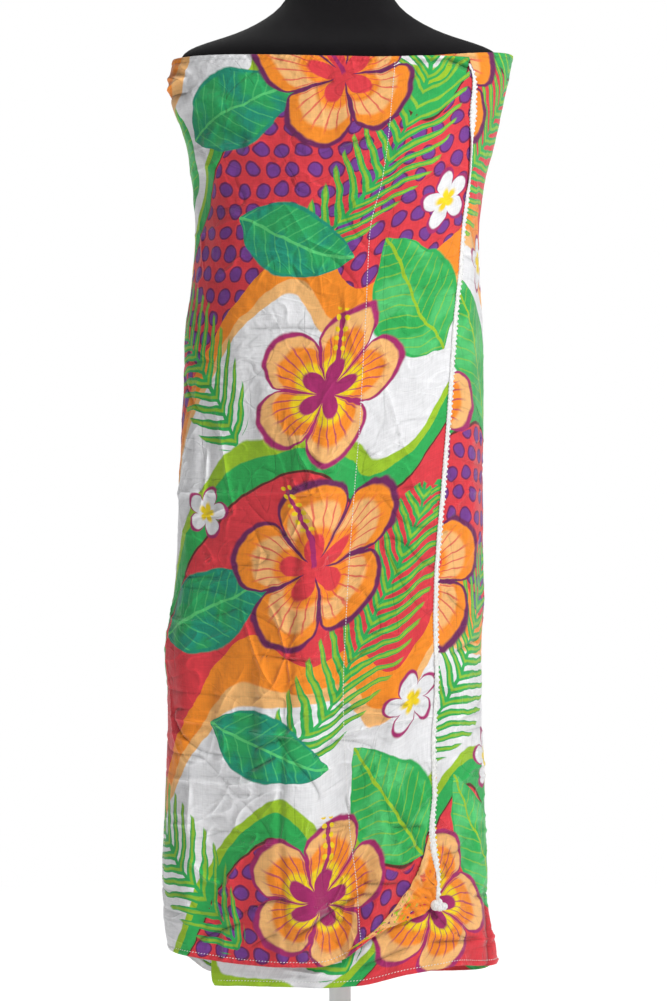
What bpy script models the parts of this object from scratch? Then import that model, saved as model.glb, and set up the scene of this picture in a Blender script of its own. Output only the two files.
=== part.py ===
"""A sarong wound strapless round a limbless dress form on a pole and a round base.

Metres, +Z up. The front faces -Y and +X is to the viewer's right. The origin is the
centre of the base's underside.

The cloth is one long piece. It starts under the front at the viewer's left, runs round the
right side, the back and the left side, and crosses the front again on the outside. A point
on it is given by its turn, the angle travelled round the body from the front centre, which
is about -55 degrees at the inner end and about 410 degrees at the free edge.
"""
import math
from collections import namedtuple

import bmesh
import bpy
from mathutils import Vector

# Cloth
CLOTH_WALL = 0.0014
LAYER_STEP = 0.0042
SEAM_GAP = 0.0003
WRAP_GIRTH = 0.966
FRONT_SHARE = 0.52
HEM_HEIGHT = 0.0065
HEM_EXTRA = 0.0006
LOWER_ROWS = 15
UPPER_ROWS = 9
UPPER_SHARE = 0.79

# Turns, in degrees, at which one stretch of the wrap is parted from the next
RIGHT_SIDE_TURN = 96.0
LEFT_SIDE_TURN = 264.0
CLIMB_START_TURN = 225.0
CLIMB_END_TURN = 292.0

# Bobble braid
BRAID_WIDTH = 0.0068
BRAID_THICKNESS = 0.0016
BOBBLE_REACH = 0.0024
BOBBLE_PITCH = 0.0056
BRAID_TOP = 1.2455
BRAID_BOTTOM = 0.317
BRAID_END_SIZE = (0.0095, 0.0035, 0.0065)
BRAID_END_INSET = 0.002
BRAID_END_CLEARANCE = 0.0011

# Dress form and stand
FORM_CLEARANCE = 0.0016
FORM_POINTS = 44
FORM_BOTTOM = 0.600
NECK_TOP = 1.400
NECK_CAP_RADIUS = 0.0535
NECK_CAP_HEIGHT = 0.012
POLE_RADIUS = 0.0125
POLE_SOCKET = 0.040
FIT_GAP = 0.0003
BASE_RADIUS = 0.180
BASE_EDGE = 0.007
BASE_DOME = 0.016
COLLAR_RADIUS = 0.022
COLLAR_HEIGHT = 0.045
POLE_FLOOR = 0.006
ROUND_POINTS = 48

# Half widths of the wrap to the viewer's left and right. squareness is the power of its
# rounded section: 2 is an ellipse, and more is squarer.
Section = namedtuple("Section", "height left right squareness")
CLOTH_SECTIONS = [
    Section(0.195, 0.1905, 0.1830, 2.45),
    Section(0.230, 0.1915, 0.1815, 2.45),
    Section(0.290, 0.1998, 0.1712, 2.40),
    Section(0.377, 0.2003, 0.1665, 2.35),
    Section(0.465, 0.1978, 0.1655, 2.35),
    Section(0.530, 0.1950, 0.1641, 2.30),
    Section(0.590, 0.1955, 0.1660, 2.30),
    Section(0.640, 0.1890, 0.1678, 2.30),
    Section(0.690, 0.1860, 0.1679, 2.30),
    Section(0.780, 0.1832, 0.1684, 2.30),
    Section(0.868, 0.1785, 0.1689, 2.25),
    Section(0.948, 0.1755, 0.1686, 2.25),
    Section(1.013, 0.1685, 0.1644, 2.25),
    Section(1.068, 0.1652, 0.1632, 2.25),
    Section(1.100, 0.1680, 0.1674, 2.25),
    Section(1.126, 0.1706, 0.1715, 2.25),
    Section(1.158, 0.1752, 0.1799, 2.30),
    Section(1.184, 0.1828, 0.1859, 2.35),
    Section(1.201, 0.1893, 0.1893, 2.35),
    Section(1.215, 0.1932, 0.1920, 2.40),
    Section(1.229, 0.1943, 0.1954, 2.40),
    Section(1.246, 0.1925, 0.1992, 2.40),
    Section(1.265, 0.1890, 0.2022, 2.40),
]

# Hem and top edge of the wrap, against the turn
Border = namedtuple("Border", "turn hem top")
WRAP_BORDERS = [
    Border(-58, 0.2155, 1.2430),
    Border(-50, 0.2170, 1.2440),
    Border(-30, 0.2174, 1.2450),
    Border(-12, 0.2168, 1.2455),
    Border(3, 0.2185, 1.2462),
    Border(14, 0.2202, 1.2470),
    Border(25, 0.2248, 1.2480),
    Border(37, 0.2312, 1.2502),
    Border(50, 0.2350, 1.2530),
    Border(60, 0.2375, 1.2564),
    Border(75, 0.2320, 1.2620),
    Border(92, 0.2270, 1.2640),
    Border(106, 0.2130, 1.2613),
    Border(120, 0.2065, 1.2580),
    Border(150, 0.2000, 1.2520),
    Border(180, 0.1965, 1.2500),
    Border(210, 0.1965, 1.2510),
    Border(235, 0.2010, 1.2535),
    Border(247, 0.2080, 1.2550),
    Border(255, 0.2250, 1.2562),
    Border(262, 0.2390, 1.2570),
    Border(275, 0.2500, 1.2575),
    Border(290, 0.2480, 1.2560),
    Border(300, 0.2445, 1.2548),
    Border(312, 0.2420, 1.2535),
    Border(335, 0.2415, 1.2515),
    Border(352, 0.2425, 1.2507),
    Border(364, 0.2530, 1.2505),
    Border(373, 0.2700, 1.2500),
    Border(384, 0.2870, 1.2500),
    Border(394, 0.2930, 1.2505),
    Border(402, 0.3060, 1.2515),
    Border(412, 0.3160, 1.2525),
]

# Across positions of the stitched seam and of the outer free edge, against the height
Edge = namedtuple("Edge", "height seam free")
FRONT_EDGES = [
    Edge(0.240, 0.0260, 0.1090),
    Edge(0.276, 0.0241, 0.1090),
    Edge(0.312, 0.0215, 0.1095),
    Edge(0.345, 0.0180, 0.1090),
    Edge(0.390, 0.0120, 0.1025),
    Edge(0.431, 0.0095, 0.1055),
    Edge(0.489, 0.0060, 0.1045),
    Edge(0.550, 0.0044, 0.1078),
    Edge(0.626, 0.0075, 0.1068),
    Edge(0.700, 0.0118, 0.1092),
    Edge(0.770, 0.0170, 0.1150),
    Edge(0.836, 0.0222, 0.1198),
    Edge(0.900, 0.0258, 0.1238),
    Edge(0.965, 0.0294, 0.1283),
    Edge(1.011, 0.0315, 0.1328),
    Edge(1.060, 0.0350, 0.1373),
    Edge(1.105, 0.0465, 0.1425),
    Edge(1.158, 0.0545, 0.1468),
    Edge(1.200, 0.0583, 0.1495),
    Edge(1.230, 0.0610, 0.1503),
    Edge(1.260, 0.0635, 0.1400),
]

# Free end of the under layer, at the viewer's left, which rounds off at its corner
InnerEnd = namedtuple("InnerEnd", "height across")
INNER_END = [
    InnerEnd(0.214, -0.1375),
    InnerEnd(0.219, -0.1422),
    InnerEnd(0.230, -0.1440),
    InnerEnd(0.700, -0.1440),
    InnerEnd(1.250, -0.1480),
]

# Largest folds, each a soft ridge (rise above 0) or trough (below 0) along a straight line
# on the unrolled cloth, from a low point to a high point
Fold = namedtuple("Fold", "low_turn low_height high_turn high_height width rise")
OUTER_FOLDS = [
    Fold(342, 0.255, 346, 0.910, 0.024, 0.0045),
    Fold(327, 0.380, 333, 0.820, 0.022, -0.0022),
    Fold(293, 0.470, 292, 0.905, 0.018, 0.0045),
    Fold(305, 0.440, 303, 0.860, 0.020, -0.0020),
    Fold(281, 0.560, 281, 0.625, 0.028, 0.0040),
    Fold(284, 0.240, 287, 0.420, 0.024, 0.0050),
    Fold(304, 0.240, 302, 0.380, 0.020, -0.0022),
    Fold(321, 0.238, 318, 0.400, 0.024, 0.0045),
    Fold(282, 1.175, 279, 1.262, 0.018, 0.0035),
    Fold(296, 1.060, 284, 1.190, 0.022, -0.0018),
    Fold(309, 1.010, 298, 1.150, 0.020, 0.0025),
    Fold(365, 0.235, 396, 0.400, 0.020, 0.0100),
    Fold(388, 0.290, 403, 0.345, 0.016, 0.0045),
    Fold(372, 0.420, 378, 0.760, 0.020, 0.0025),
    Fold(392, 0.480, 396, 0.900, 0.016, 0.0022),
]
BACK_FOLDS = [
    Fold(108, 0.230, 104, 0.760, 0.026, 0.0050),
    Fold(122, 0.215, 119, 0.520, 0.022, -0.0050),
    Fold(137, 0.205, 142, 0.900, 0.028, 0.0070),
    Fold(154, 0.205, 155, 0.620, 0.022, -0.0055),
    Fold(170, 0.205, 165, 1.010, 0.028, 0.0060),
    Fold(186, 0.205, 188, 0.540, 0.022, -0.0050),
    Fold(202, 0.205, 207, 0.850, 0.028, 0.0075),
    Fold(219, 0.210, 219, 0.600, 0.022, -0.0050),
    Fold(236, 0.220, 232, 0.960, 0.028, 0.0060),
    Fold(251, 0.230, 250, 0.500, 0.022, -0.0035),
    Fold(146, 0.980, 171, 1.090, 0.020, 0.0030),
    Fold(214, 0.960, 190, 1.070, 0.020, 0.0030),
]
UNDER_FOLDS = [
    Fold(84, 0.225, 82, 0.560, 0.024, 0.0040),
    Fold(70, 0.228, 68, 0.420, 0.020, -0.0035),
    Fold(66, 0.640, 64, 1.040, 0.022, 0.0025),
]

# Half width and depths of the form where it is narrower than the wrap, and up the neck
FormRing = namedtuple("FormRing", "height side front back")
LOWER_FORM = [
    FormRing(0.600, 0.1340, 0.0800, 0.0900),
    FormRing(0.606, 0.1410, 0.0860, 0.0960),
    FormRing(0.620, 0.1455, 0.0900, 0.1000),
    FormRing(0.660, 0.1520, 0.0950, 0.1055),
    FormRing(0.710, 0.1560, 0.0985, 0.1090),
    FormRing(0.760, 0.1530, 0.0985, 0.1050),
    FormRing(0.810, 0.1420, 0.0965, 0.0950),
    FormRing(0.860, 0.1280, 0.0950, 0.0860),
    FormRing(0.905, 0.1200, 0.0960, 0.0820),
    FormRing(0.950, 0.1230, 0.1010, 0.0860),
    FormRing(1.000, 0.1330, 0.1090, 0.0950),
    FormRing(1.050, 0.1450, 0.1180, 0.1040),
    FormRing(1.100, 0.1540, 0.1230, 0.1100),
]
UPPER_FORM = [
    FormRing(1.2630, 0.1830, 0.0915, 0.0850),
    FormRing(1.2700, 0.1765, 0.0860, 0.0815),
    FormRing(1.2765, 0.1600, 0.0800, 0.0770),
    FormRing(1.2835, 0.1360, 0.0740, 0.0720),
    FormRing(1.2930, 0.1100, 0.0680, 0.0665),
    FormRing(1.3060, 0.0860, 0.0625, 0.0615),
    FormRing(1.3200, 0.0680, 0.0575, 0.0580),
    FormRing(1.3370, 0.0575, 0.0540, 0.0550),
    FormRing(1.3600, 0.0530, 0.0520, 0.0530),
    FormRing(1.4000, 0.0515, 0.0510, 0.0515),
]
TUCKED_RING_HEIGHTS = [1.150, 1.175, 1.196, 1.214, 1.230, 1.244, 1.256]
FORM_SQUARENESS = 2.2

COLOURS = {
    "cloth": (0.72, 0.10, 0.08, 1.0),
    "under_cloth": (0.85, 0.32, 0.08, 1.0),
    "braid": (0.86, 0.86, 0.84, 1.0),
    "flock": (0.010, 0.010, 0.011, 1.0),
    "painted_steel": (0.84, 0.84, 0.84, 1.0),
}


def remove_everything():
    for item in list(bpy.data.objects):
        bpy.data.objects.remove(item, do_unlink=True)


def make_material(name, roughness):
    material = bpy.data.materials.new(name)
    material.use_nodes = True
    shader = material.node_tree.nodes["Principled BSDF"]
    shader.inputs["Base Color"].default_value = COLOURS[name]
    shader.inputs["Roughness"].default_value = roughness
    return material


def smooth_value(rows, key, column, where):
    """Value of a table's column at a place between its rows, on a smooth curve."""
    places = [getattr(row, key) for row in rows]
    values = [getattr(row, column) for row in rows]
    where = min(max(where, places[0]), places[-1])
    index = 0
    while index < len(rows) - 2 and where > places[index + 1]:
        index += 1
    span = places[index + 1] - places[index]
    part = (where - places[index]) / span

    def slope(at):
        low = max(at - 1, 0)
        high = min(at + 1, len(rows) - 1)
        return (values[high] - values[low]) / (places[high] - places[low])

    start = slope(index) * span
    end = slope(index + 1) * span
    rise = values[index + 1] - values[index]
    return (values[index] + part * start
            + part ** 2 * (3 * rise - 2 * start - end)
            + part ** 3 * (start + end - 2 * rise))


def soft_step(low, high, where):
    part = min(max((where - low) / (high - low), 0.0), 1.0)
    return part * part * (3.0 - 2.0 * part)


def rounded_radius(angle, side, depth, squareness):
    across = abs(math.sin(angle)) / side
    along = abs(math.cos(angle)) / depth
    return (across ** squareness + along ** squareness) ** (-1.0 / squareness)


def section_point(angle, left, right, front, back, squareness):
    side = right if math.sin(angle) >= 0 else left
    depth = front if math.cos(angle) >= 0 else back
    radius = rounded_radius(angle, side, depth, squareness)
    return radius * math.sin(angle), -radius * math.cos(angle)


def girth_of(left, right, depth, squareness):
    steps = 96
    total = 0.0
    last = None
    for step in range(steps + 1):
        angle = math.tau * step / steps
        point = section_point(angle, left, right, depth * FRONT_SHARE,
                              depth * (1 - FRONT_SHARE), squareness)
        if last:
            total += math.dist(point, last)
        last = point
    return total


def depth_for_girth(left, right, squareness):
    """Front to back depth that gives the wrap its girth with these half widths."""
    low = 0.08
    high = 0.40
    for _ in range(30):
        middle = (low + high) / 2
        if girth_of(left, right, middle, squareness) < WRAP_GIRTH:
            low = middle
        else:
            high = middle
    return (low + high) / 2


DeepSection = namedtuple("DeepSection", "height left right depth squareness")
DEEP_SECTIONS = [
    DeepSection(row.height, row.left, row.right,
                depth_for_girth(row.left, row.right, row.squareness), row.squareness)
    for row in CLOTH_SECTIONS
]


def fold_rise(folds, turn, height):
    """How far the folds lift the cloth at a place on the wrap."""
    metres_per_degree = WRAP_GIRTH / 360.0
    total = 0.0
    for fold in folds:
        start = (fold.low_turn * metres_per_degree, fold.low_height)
        run = ((fold.high_turn - fold.low_turn) * metres_per_degree,
               fold.high_height - fold.low_height)
        length = math.hypot(*run)
        offset = (turn * metres_per_degree - start[0], height - start[1])
        along = (offset[0] * run[0] + offset[1] * run[1]) / length
        away = abs(offset[0] * run[1] - offset[1] * run[0]) / length
        fade = soft_step(-0.030, 0.035, along) * soft_step(-0.050, 0.090, length - along)
        total += fold.rise * math.exp(-(away / fold.width) ** 2) * fade
    return total


def lift_of(turn, height):
    """Distance of the cloth's middle outside the innermost turn."""
    climb = soft_step(CLIMB_START_TURN, CLIMB_END_TURN, turn)
    lift = LAYER_STEP * climb
    if turn > CLIMB_START_TURN - 60:
        lift += fold_rise(OUTER_FOLDS, turn, height)
    if 60 < turn < CLIMB_END_TURN:
        lift += fold_rise(BACK_FOLDS, turn, height)
    if turn < 140:
        lift += fold_rise(UNDER_FOLDS, turn, height)
    return lift


def wrap_middle(turn, height, extra=0.0):
    """Point in the middle of the cloth's thickness, moved out by extra."""
    angle = math.radians(turn)
    inset = LAYER_STEP + CLOTH_WALL / 2
    left = smooth_value(DEEP_SECTIONS, "height", "left", height)
    right = smooth_value(DEEP_SECTIONS, "height", "right", height)
    depth = smooth_value(DEEP_SECTIONS, "height", "depth", height)
    squareness = smooth_value(DEEP_SECTIONS, "height", "squareness", height)
    out = lift_of(turn, height) - inset + extra
    x, y = section_point(angle, left + out, right + out, depth * FRONT_SHARE + out,
                         depth * (1 - FRONT_SHARE) + out, squareness)
    return Vector((x, y, height))


def wrap_outward(turn, height):
    """Unit vector out of the cloth at a place on the wrap."""
    across = wrap_middle(turn + 0.5, height) - wrap_middle(turn - 0.5, height)
    upward = wrap_middle(turn, height + 0.004) - wrap_middle(turn, height - 0.004)
    return across.cross(upward).normalized()


def turn_at(across, height, whole_turns=0):
    """Turn on the front at which the wrap has this across position."""
    low = -89.0
    high = 89.0
    base = 360.0 * whole_turns
    for _ in range(40):
        middle = (low + high) / 2
        if wrap_middle(base + middle, height).x < across:
            low = middle
        else:
            high = middle
    return base + (low + high) / 2


def seam_turn(height, side):
    across = smooth_value(FRONT_EDGES, "height", "seam", height) + side * SEAM_GAP / 2
    return turn_at(across, height, 1)


def free_turn(height):
    return turn_at(smooth_value(FRONT_EDGES, "height", "free", height), height, 1)


def inner_end_turn(height):
    return turn_at(smooth_value(INNER_END, "height", "across", height), height)


def gap_turn(turn, side):
    """A parting turn, moved by half of the seam gap to one side."""
    return turn + side * math.degrees(SEAM_GAP / 2 / 0.16)


def row_shares():
    """Shares of the cloth's height at which it has a row of points, closer near the top."""
    lower = [UPPER_SHARE * row / LOWER_ROWS for row in range(1, LOWER_ROWS)]
    upper = [UPPER_SHARE + (1 - UPPER_SHARE) * row / UPPER_ROWS for row in range(UPPER_ROWS + 1)]
    return [0.0, HEM_HEIGHT] + lower + upper


def wall_grid(first_turn, last_turn, columns):
    """Rows of (turn, height) from hem to top, between two edges given by functions."""
    grid = []
    for part in row_shares():
        guess = 0.235 + part * 1.015
        line = []
        for column in range(columns + 1):
            share = column / columns
            height = guess
            for _ in range(3):
                start = first_turn(height)
                end = last_turn(height)
                turn = start + share * (end - start)
                hem = smooth_value(WRAP_BORDERS, "turn", "hem", turn)
                top = smooth_value(WRAP_BORDERS, "turn", "top", turn)
                height = hem + part * (top - hem)
            line.append((turn, height))
        grid.append(line)
    return grid


def closed_sheet(name, outer, inner, material):
    """A solid between two grids of points that lie over each other."""
    mesh = bmesh.new()
    outer_rows = [[mesh.verts.new(point) for point in line] for line in outer]
    inner_rows = [[mesh.verts.new(point) for point in line] for line in inner]
    last_row = len(outer) - 1
    last_column = len(outer[0]) - 1
    for row in range(last_row):
        for column in range(last_column):
            mesh.faces.new((outer_rows[row][column], outer_rows[row][column + 1],
                            outer_rows[row + 1][column + 1], outer_rows[row + 1][column]))
            mesh.faces.new((inner_rows[row][column], inner_rows[row + 1][column],
                            inner_rows[row + 1][column + 1], inner_rows[row][column + 1]))
    for row in range(last_row):
        mesh.faces.new((outer_rows[row][0], outer_rows[row + 1][0],
                        inner_rows[row + 1][0], inner_rows[row][0]))
        mesh.faces.new((outer_rows[row + 1][last_column], outer_rows[row][last_column],
                        inner_rows[row][last_column], inner_rows[row + 1][last_column]))
    for column in range(last_column):
        mesh.faces.new((outer_rows[0][column + 1], outer_rows[0][column],
                        inner_rows[0][column], inner_rows[0][column + 1]))
        mesh.faces.new((outer_rows[last_row][column], outer_rows[last_row][column + 1],
                        inner_rows[last_row][column + 1], inner_rows[last_row][column]))
    return finish_object(name, mesh, material)


def finish_object(name, mesh, material):
    data = bpy.data.meshes.new(name)
    mesh.to_mesh(data)
    mesh.free()
    data.shade_smooth()
    data.set_sharp_from_angle(angle=math.radians(40))
    data.materials.append(material)
    item = bpy.data.objects.new(name, data)
    bpy.context.scene.collection.objects.link(item)
    return item


def cloth_wall(name, first_turn, last_turn, columns, material):
    """A stretch of the wrap as a wall, a little thicker along its hem."""
    outer = []
    inner = []
    for row, line in enumerate(wall_grid(first_turn, last_turn, columns)):
        half = CLOTH_WALL / 2
        hem_extra = HEM_EXTRA if row < 2 else 0.0
        outer_line = []
        inner_line = []
        for turn, height in line:
            middle = wrap_middle(turn, height)
            outward = wrap_outward(turn, height)
            outer_line.append(middle + outward * (half + hem_extra))
            inner_line.append(middle - outward * half)
        outer.append(outer_line)
        inner.append(inner_line)
    closed_sheet(name, outer, inner, material)
    return outer


def strip_point(outer_rows, height, from_edge):
    """Point on a wall's outer face at a height, this far in from its last edge."""
    row = 0
    while row < len(outer_rows) - 2 and outer_rows[row + 1][-1].z < height:
        row += 1
    low = outer_rows[row]
    high = outer_rows[row + 1]
    part = (height - low[-1].z) / (high[-1].z - low[-1].z)
    edge = low[-1].lerp(high[-1], part)
    inside = low[-2].lerp(high[-2], part)
    return edge + (inside - edge).normalized() * from_edge, (inside - edge).normalized()


def braid_outward(inward):
    outward = inward.cross(Vector((0, 0, 1))).normalized()
    return -outward if outward.y > 0 else outward


def make_braid(outer_rows, material):
    """White braid on the free edge, with a pointed bobble at every step of its length."""
    count = round((BRAID_TOP - BRAID_BOTTOM) / BOBBLE_PITCH)
    outer = []
    inner = []
    for step in range(2 * count + 1):
        height = BRAID_BOTTOM + (BRAID_TOP - BRAID_BOTTOM) * step / (2 * count)
        reach = BOBBLE_REACH if step % 2 else BOBBLE_REACH * 0.25
        band, inward = strip_point(outer_rows, height, BRAID_WIDTH)
        tip, _ = strip_point(outer_rows, height, -reach)
        outward = braid_outward(inward)
        seat = outward * (SEAM_GAP + 0.0002)
        top = seat + outward * BRAID_THICKNESS
        outer.append([band + top, tip + top])
        inner.append([band + seat, tip + seat])
    closed_sheet("bobble_braid", outer, inner, material)
    return outer[0] + inner[0]


def make_braid_end(outer_rows, lowest, material):
    """The lump where the braid is turned in, just under its lowest bobble."""
    mesh = bmesh.new()
    bmesh.ops.create_icosphere(mesh, subdivisions=2, radius=1.0)
    height = min(point.z for point in lowest) - BRAID_END_SIZE[2] - SEAM_GAP
    seat, inward = strip_point(outer_rows, height, BRAID_END_INSET)
    outward = braid_outward(inward)
    centre = seat + outward * (BRAID_END_SIZE[1] + BRAID_END_CLEARANCE)
    centre.z = height
    for vertex in mesh.verts:
        vertex.co = Vector(vertex.co[i] * BRAID_END_SIZE[i] for i in range(3)) + centre
    return finish_object("braid_end", mesh, material)


def loft(name, rings, material):
    """A closed solid through rings of equal length, from the first up and round to the last."""
    mesh = bmesh.new()
    loops = [[mesh.verts.new(point) for point in ring] for ring in rings]
    count = len(loops[0])
    for lower, upper in zip(loops, loops[1:]):
        for index in range(count):
            after = (index + 1) % count
            mesh.faces.new((lower[index], lower[after], upper[after], upper[index]))
    mesh.faces.new(list(reversed(loops[0])))
    mesh.faces.new(loops[-1])
    return finish_object(name, mesh, material)


def circle_ring(radius, height, count):
    return [Vector((radius * math.sin(math.tau * index / count),
                    -radius * math.cos(math.tau * index / count), height))
            for index in range(count)]


def form_ring(row):
    ring = []
    for index in range(FORM_POINTS):
        angle = math.tau * index / FORM_POINTS
        x, y = section_point(angle, row.side, row.side, row.front, row.back, FORM_SQUARENESS)
        ring.append(Vector((x, y, row.height)))
    return ring


def tucked_ring(height):
    """Ring of the form where the cloth is pulled close to it, just clear of the cloth."""
    ring = []
    inset = LAYER_STEP + CLOTH_WALL + FORM_CLEARANCE
    left = smooth_value(DEEP_SECTIONS, "height", "left", height) - inset
    right = smooth_value(DEEP_SECTIONS, "height", "right", height) - inset
    depth = smooth_value(DEEP_SECTIONS, "height", "depth", height)
    squareness = smooth_value(DEEP_SECTIONS, "height", "squareness", height)
    for index in range(FORM_POINTS):
        angle = math.tau * index / FORM_POINTS
        x, y = section_point(angle, left, right, depth * FRONT_SHARE - inset,
                             depth * (1 - FRONT_SHARE) - inset, squareness)
        ring.append(Vector((x, y, height)))
    return ring


def make_dress_form(material):
    """Smooth torso with a socket in its underside for the pole."""
    socket_radius = POLE_RADIUS + FIT_GAP
    rings = [circle_ring(socket_radius, FORM_BOTTOM + POLE_SOCKET, FORM_POINTS),
             circle_ring(socket_radius, FORM_BOTTOM, FORM_POINTS)]
    rings += [form_ring(row) for row in LOWER_FORM]
    rings += [tucked_ring(height) for height in TUCKED_RING_HEIGHTS]
    rings += [form_ring(row) for row in UPPER_FORM]
    return loft("dress_form", rings, material)


def make_neck_cap(material):
    low = NECK_TOP + FIT_GAP
    profile = [(NECK_CAP_RADIUS - 0.002, 0.0), (NECK_CAP_RADIUS, 0.002),
               (NECK_CAP_RADIUS, NECK_CAP_HEIGHT - 0.004),
               (NECK_CAP_RADIUS - 0.004, NECK_CAP_HEIGHT)]
    rings = [circle_ring(radius, low + rise, ROUND_POINTS) for radius, rise in profile]
    return loft("neck_cap", rings, material)


def make_pole(material):
    low = POLE_FLOOR + FIT_GAP
    high = FORM_BOTTOM + POLE_SOCKET - FIT_GAP
    rings = [circle_ring(POLE_RADIUS, height, ROUND_POINTS // 2)
             for height in (low, 0.2, 0.4, high)]
    return loft("stand_pole", rings, material)


def make_base(material):
    """Round base with a low dome and a blind hole in which the pole stands."""
    hole = POLE_RADIUS + FIT_GAP
    profile = [(BASE_RADIUS - 0.002, 0.0), (BASE_RADIUS, 0.002), (BASE_RADIUS, BASE_EDGE - 0.002),
               (BASE_RADIUS - 0.003, BASE_EDGE), (BASE_RADIUS * 0.55, BASE_DOME - 0.003),
               (COLLAR_RADIUS + 0.004, BASE_DOME), (hole, BASE_DOME), (hole, POLE_FLOOR)]
    rings = [circle_ring(radius, height, ROUND_POINTS) for radius, height in profile]
    return loft("stand_base", rings, material)


def make_collar(material):
    """Collar that holds the pole upright on the base, turned round from inside to inside."""
    hole = POLE_RADIUS + FIT_GAP
    low = BASE_DOME + FIT_GAP
    profile = [(hole, low), (COLLAR_RADIUS, low), (COLLAR_RADIUS, COLLAR_HEIGHT - 0.002),
               (COLLAR_RADIUS - 0.002, COLLAR_HEIGHT), (hole, COLLAR_HEIGHT)]
    mesh = bmesh.new()
    loops = [[mesh.verts.new(point) for point in circle_ring(radius, height, ROUND_POINTS)]
             for radius, height in profile]
    for lower, upper in zip(loops, loops[1:] + loops[:1]):
        for index in range(ROUND_POINTS):
            after = (index + 1) % ROUND_POINTS
            mesh.faces.new((lower[index], lower[after], upper[after], upper[index]))
    return finish_object("base_collar", mesh, material)


def main():
    remove_everything()
    cloth = make_material("cloth", 0.85)
    under_cloth = make_material("under_cloth", 0.85)
    braid = make_material("braid", 0.80)
    flock = make_material("flock", 0.95)
    painted_steel = make_material("painted_steel", 0.40)

    cloth_wall("outer_front_stretch", lambda height: gap_turn(LEFT_SIDE_TURN, 1),
               lambda height: seam_turn(height, -1), 18, cloth)
    strip_face = cloth_wall("end_strip", lambda height: seam_turn(height, 1), free_turn,
                            6, under_cloth)
    cloth_wall("back_stretch", lambda height: gap_turn(RIGHT_SIDE_TURN, 1),
               lambda height: gap_turn(LEFT_SIDE_TURN, -1), 26, cloth)
    cloth_wall("under_front_stretch", inner_end_turn,
               lambda height: gap_turn(RIGHT_SIDE_TURN, -1), 24, under_cloth)
    lowest = make_braid(strip_face, braid)
    make_braid_end(strip_face, lowest, braid)
    make_dress_form(flock)
    make_neck_cap(flock)
    make_pole(painted_steel)
    make_base(painted_steel)
    make_collar(painted_steel)


main()
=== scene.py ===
"""Looks of a printed voile sarong, wound strapless round a flocked dress form.

The cloth's form follows the frame: the same sections, borders and folds, with finer creases,
turned hems, stitching, the bobble braid and the print on top.
"""
import math
from collections import namedtuple
from contextlib import contextmanager

import bmesh
import bpy
import numpy as np
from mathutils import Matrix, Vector


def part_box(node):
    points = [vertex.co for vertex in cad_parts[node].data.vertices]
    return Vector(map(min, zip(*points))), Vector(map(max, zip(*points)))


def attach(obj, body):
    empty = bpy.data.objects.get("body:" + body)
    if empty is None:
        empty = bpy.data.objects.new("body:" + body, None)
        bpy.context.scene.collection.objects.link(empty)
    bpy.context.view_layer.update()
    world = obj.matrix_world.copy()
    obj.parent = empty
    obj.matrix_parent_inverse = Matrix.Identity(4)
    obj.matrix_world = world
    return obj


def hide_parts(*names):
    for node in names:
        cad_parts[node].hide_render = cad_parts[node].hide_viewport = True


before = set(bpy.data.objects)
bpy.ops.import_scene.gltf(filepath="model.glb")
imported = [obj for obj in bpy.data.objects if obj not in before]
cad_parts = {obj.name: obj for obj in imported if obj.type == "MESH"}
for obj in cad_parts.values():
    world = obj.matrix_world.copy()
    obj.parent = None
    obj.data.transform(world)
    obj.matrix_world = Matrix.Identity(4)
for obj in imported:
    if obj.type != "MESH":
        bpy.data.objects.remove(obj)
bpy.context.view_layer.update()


def in_metres(kind, rows):
    """Rows of a table that is written in millimetres."""
    return [kind(*(value / 1000 for value in row)) for row in rows]


# Cloth, in metres, as in the frame
CLOTH_WALL = 0.0014
LAYER_STEP = 0.0042
WRAP_GIRTH = 0.966
FRONT_SHARE = 0.52
CLIMB_START_TURN = 225.0
CLIMB_END_TURN = 292.0
METRES_PER_DEGREE = WRAP_GIRTH / 360.0
FACE_INSET = 0.0003
CLOTH_HEIGHT = 1.02
ROUGH_HEM = 0.235
ROUGH_HEIGHT = 1.015

# Grids of the sheets
HEM_STEPS = (0.0, 0.0012, 0.0024, 0.0036, 0.0048, 0.0058, 0.0068, 0.0084, 0.0112)
TOP_STEPS = (0.0105, 0.0080, 0.0066, 0.0056, 0.0046, 0.0034, 0.0022, 0.0010, 0.0)
BODY_ROWS = 560
HEM_STITCH_STEP = 0.0058
HEM_KNOT_TURNS = (90.5, 262.0)
HEM_KNOT_RISE = 0.0034
HEM_ROLL = 0.00055
HEM_GROOVE = 0.00040
HEM_PUCKER = 0.00030
HEM_PUCKER_PITCH = 0.0074
STRIP_COLUMNS = 34
OUTER_SPANS = ((292.0, 128), (264.0, 26))
BACK_SPANS = ((96.0, 92),)
UNDER_SPANS = ((42.0, 32),)
HIDDEN_COLUMNS = 38
TURNED_GAP = 0.0009
TURNED_FOLD = 0.0003

# Stitches
SEAM_PITCH = 0.0031
HEM_PITCH = 0.0036
HEM_SLANT = 0.25
STITCH_LENGTH = 0.0021
SIDE_STITCH_TURN = 282.0
SIDE_ROWS = slice(14, 76)
STITCH_WIDTH = 0.00042
STITCH_LIFT = 0.00010
STITCH_RINGS = np.array([(-0.5, 0.35), (-0.30, 1.0), (0.30, 1.0), (0.5, 0.35)])
STITCH_SIDES = 6

# Bobble braid
BRAID_INSET = 0.0026
BRAID_HALF_WIDTH = 0.0027
BRAID_HALF_THICKNESS = 0.0012
BRAID_TOP = 1.2455
BRAID_BOTTOM = 0.317
BRAID_TUCK = 0.006
BRAID_TWIST_HEIGHT = 1.136
BRAID_TWIST_LENGTH = 0.030
BOBBLE_PITCH = 0.0056
BOBBLE_RADIUS = 0.0013
BRAID_SWELLS = ((1.188, 0.021, 0.60), (0.385, 0.040, 0.30))
BRAID_STEP = 0.0008
BRAID_SIDES = 12
PLAIT_PITCH = 0.0042

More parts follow.
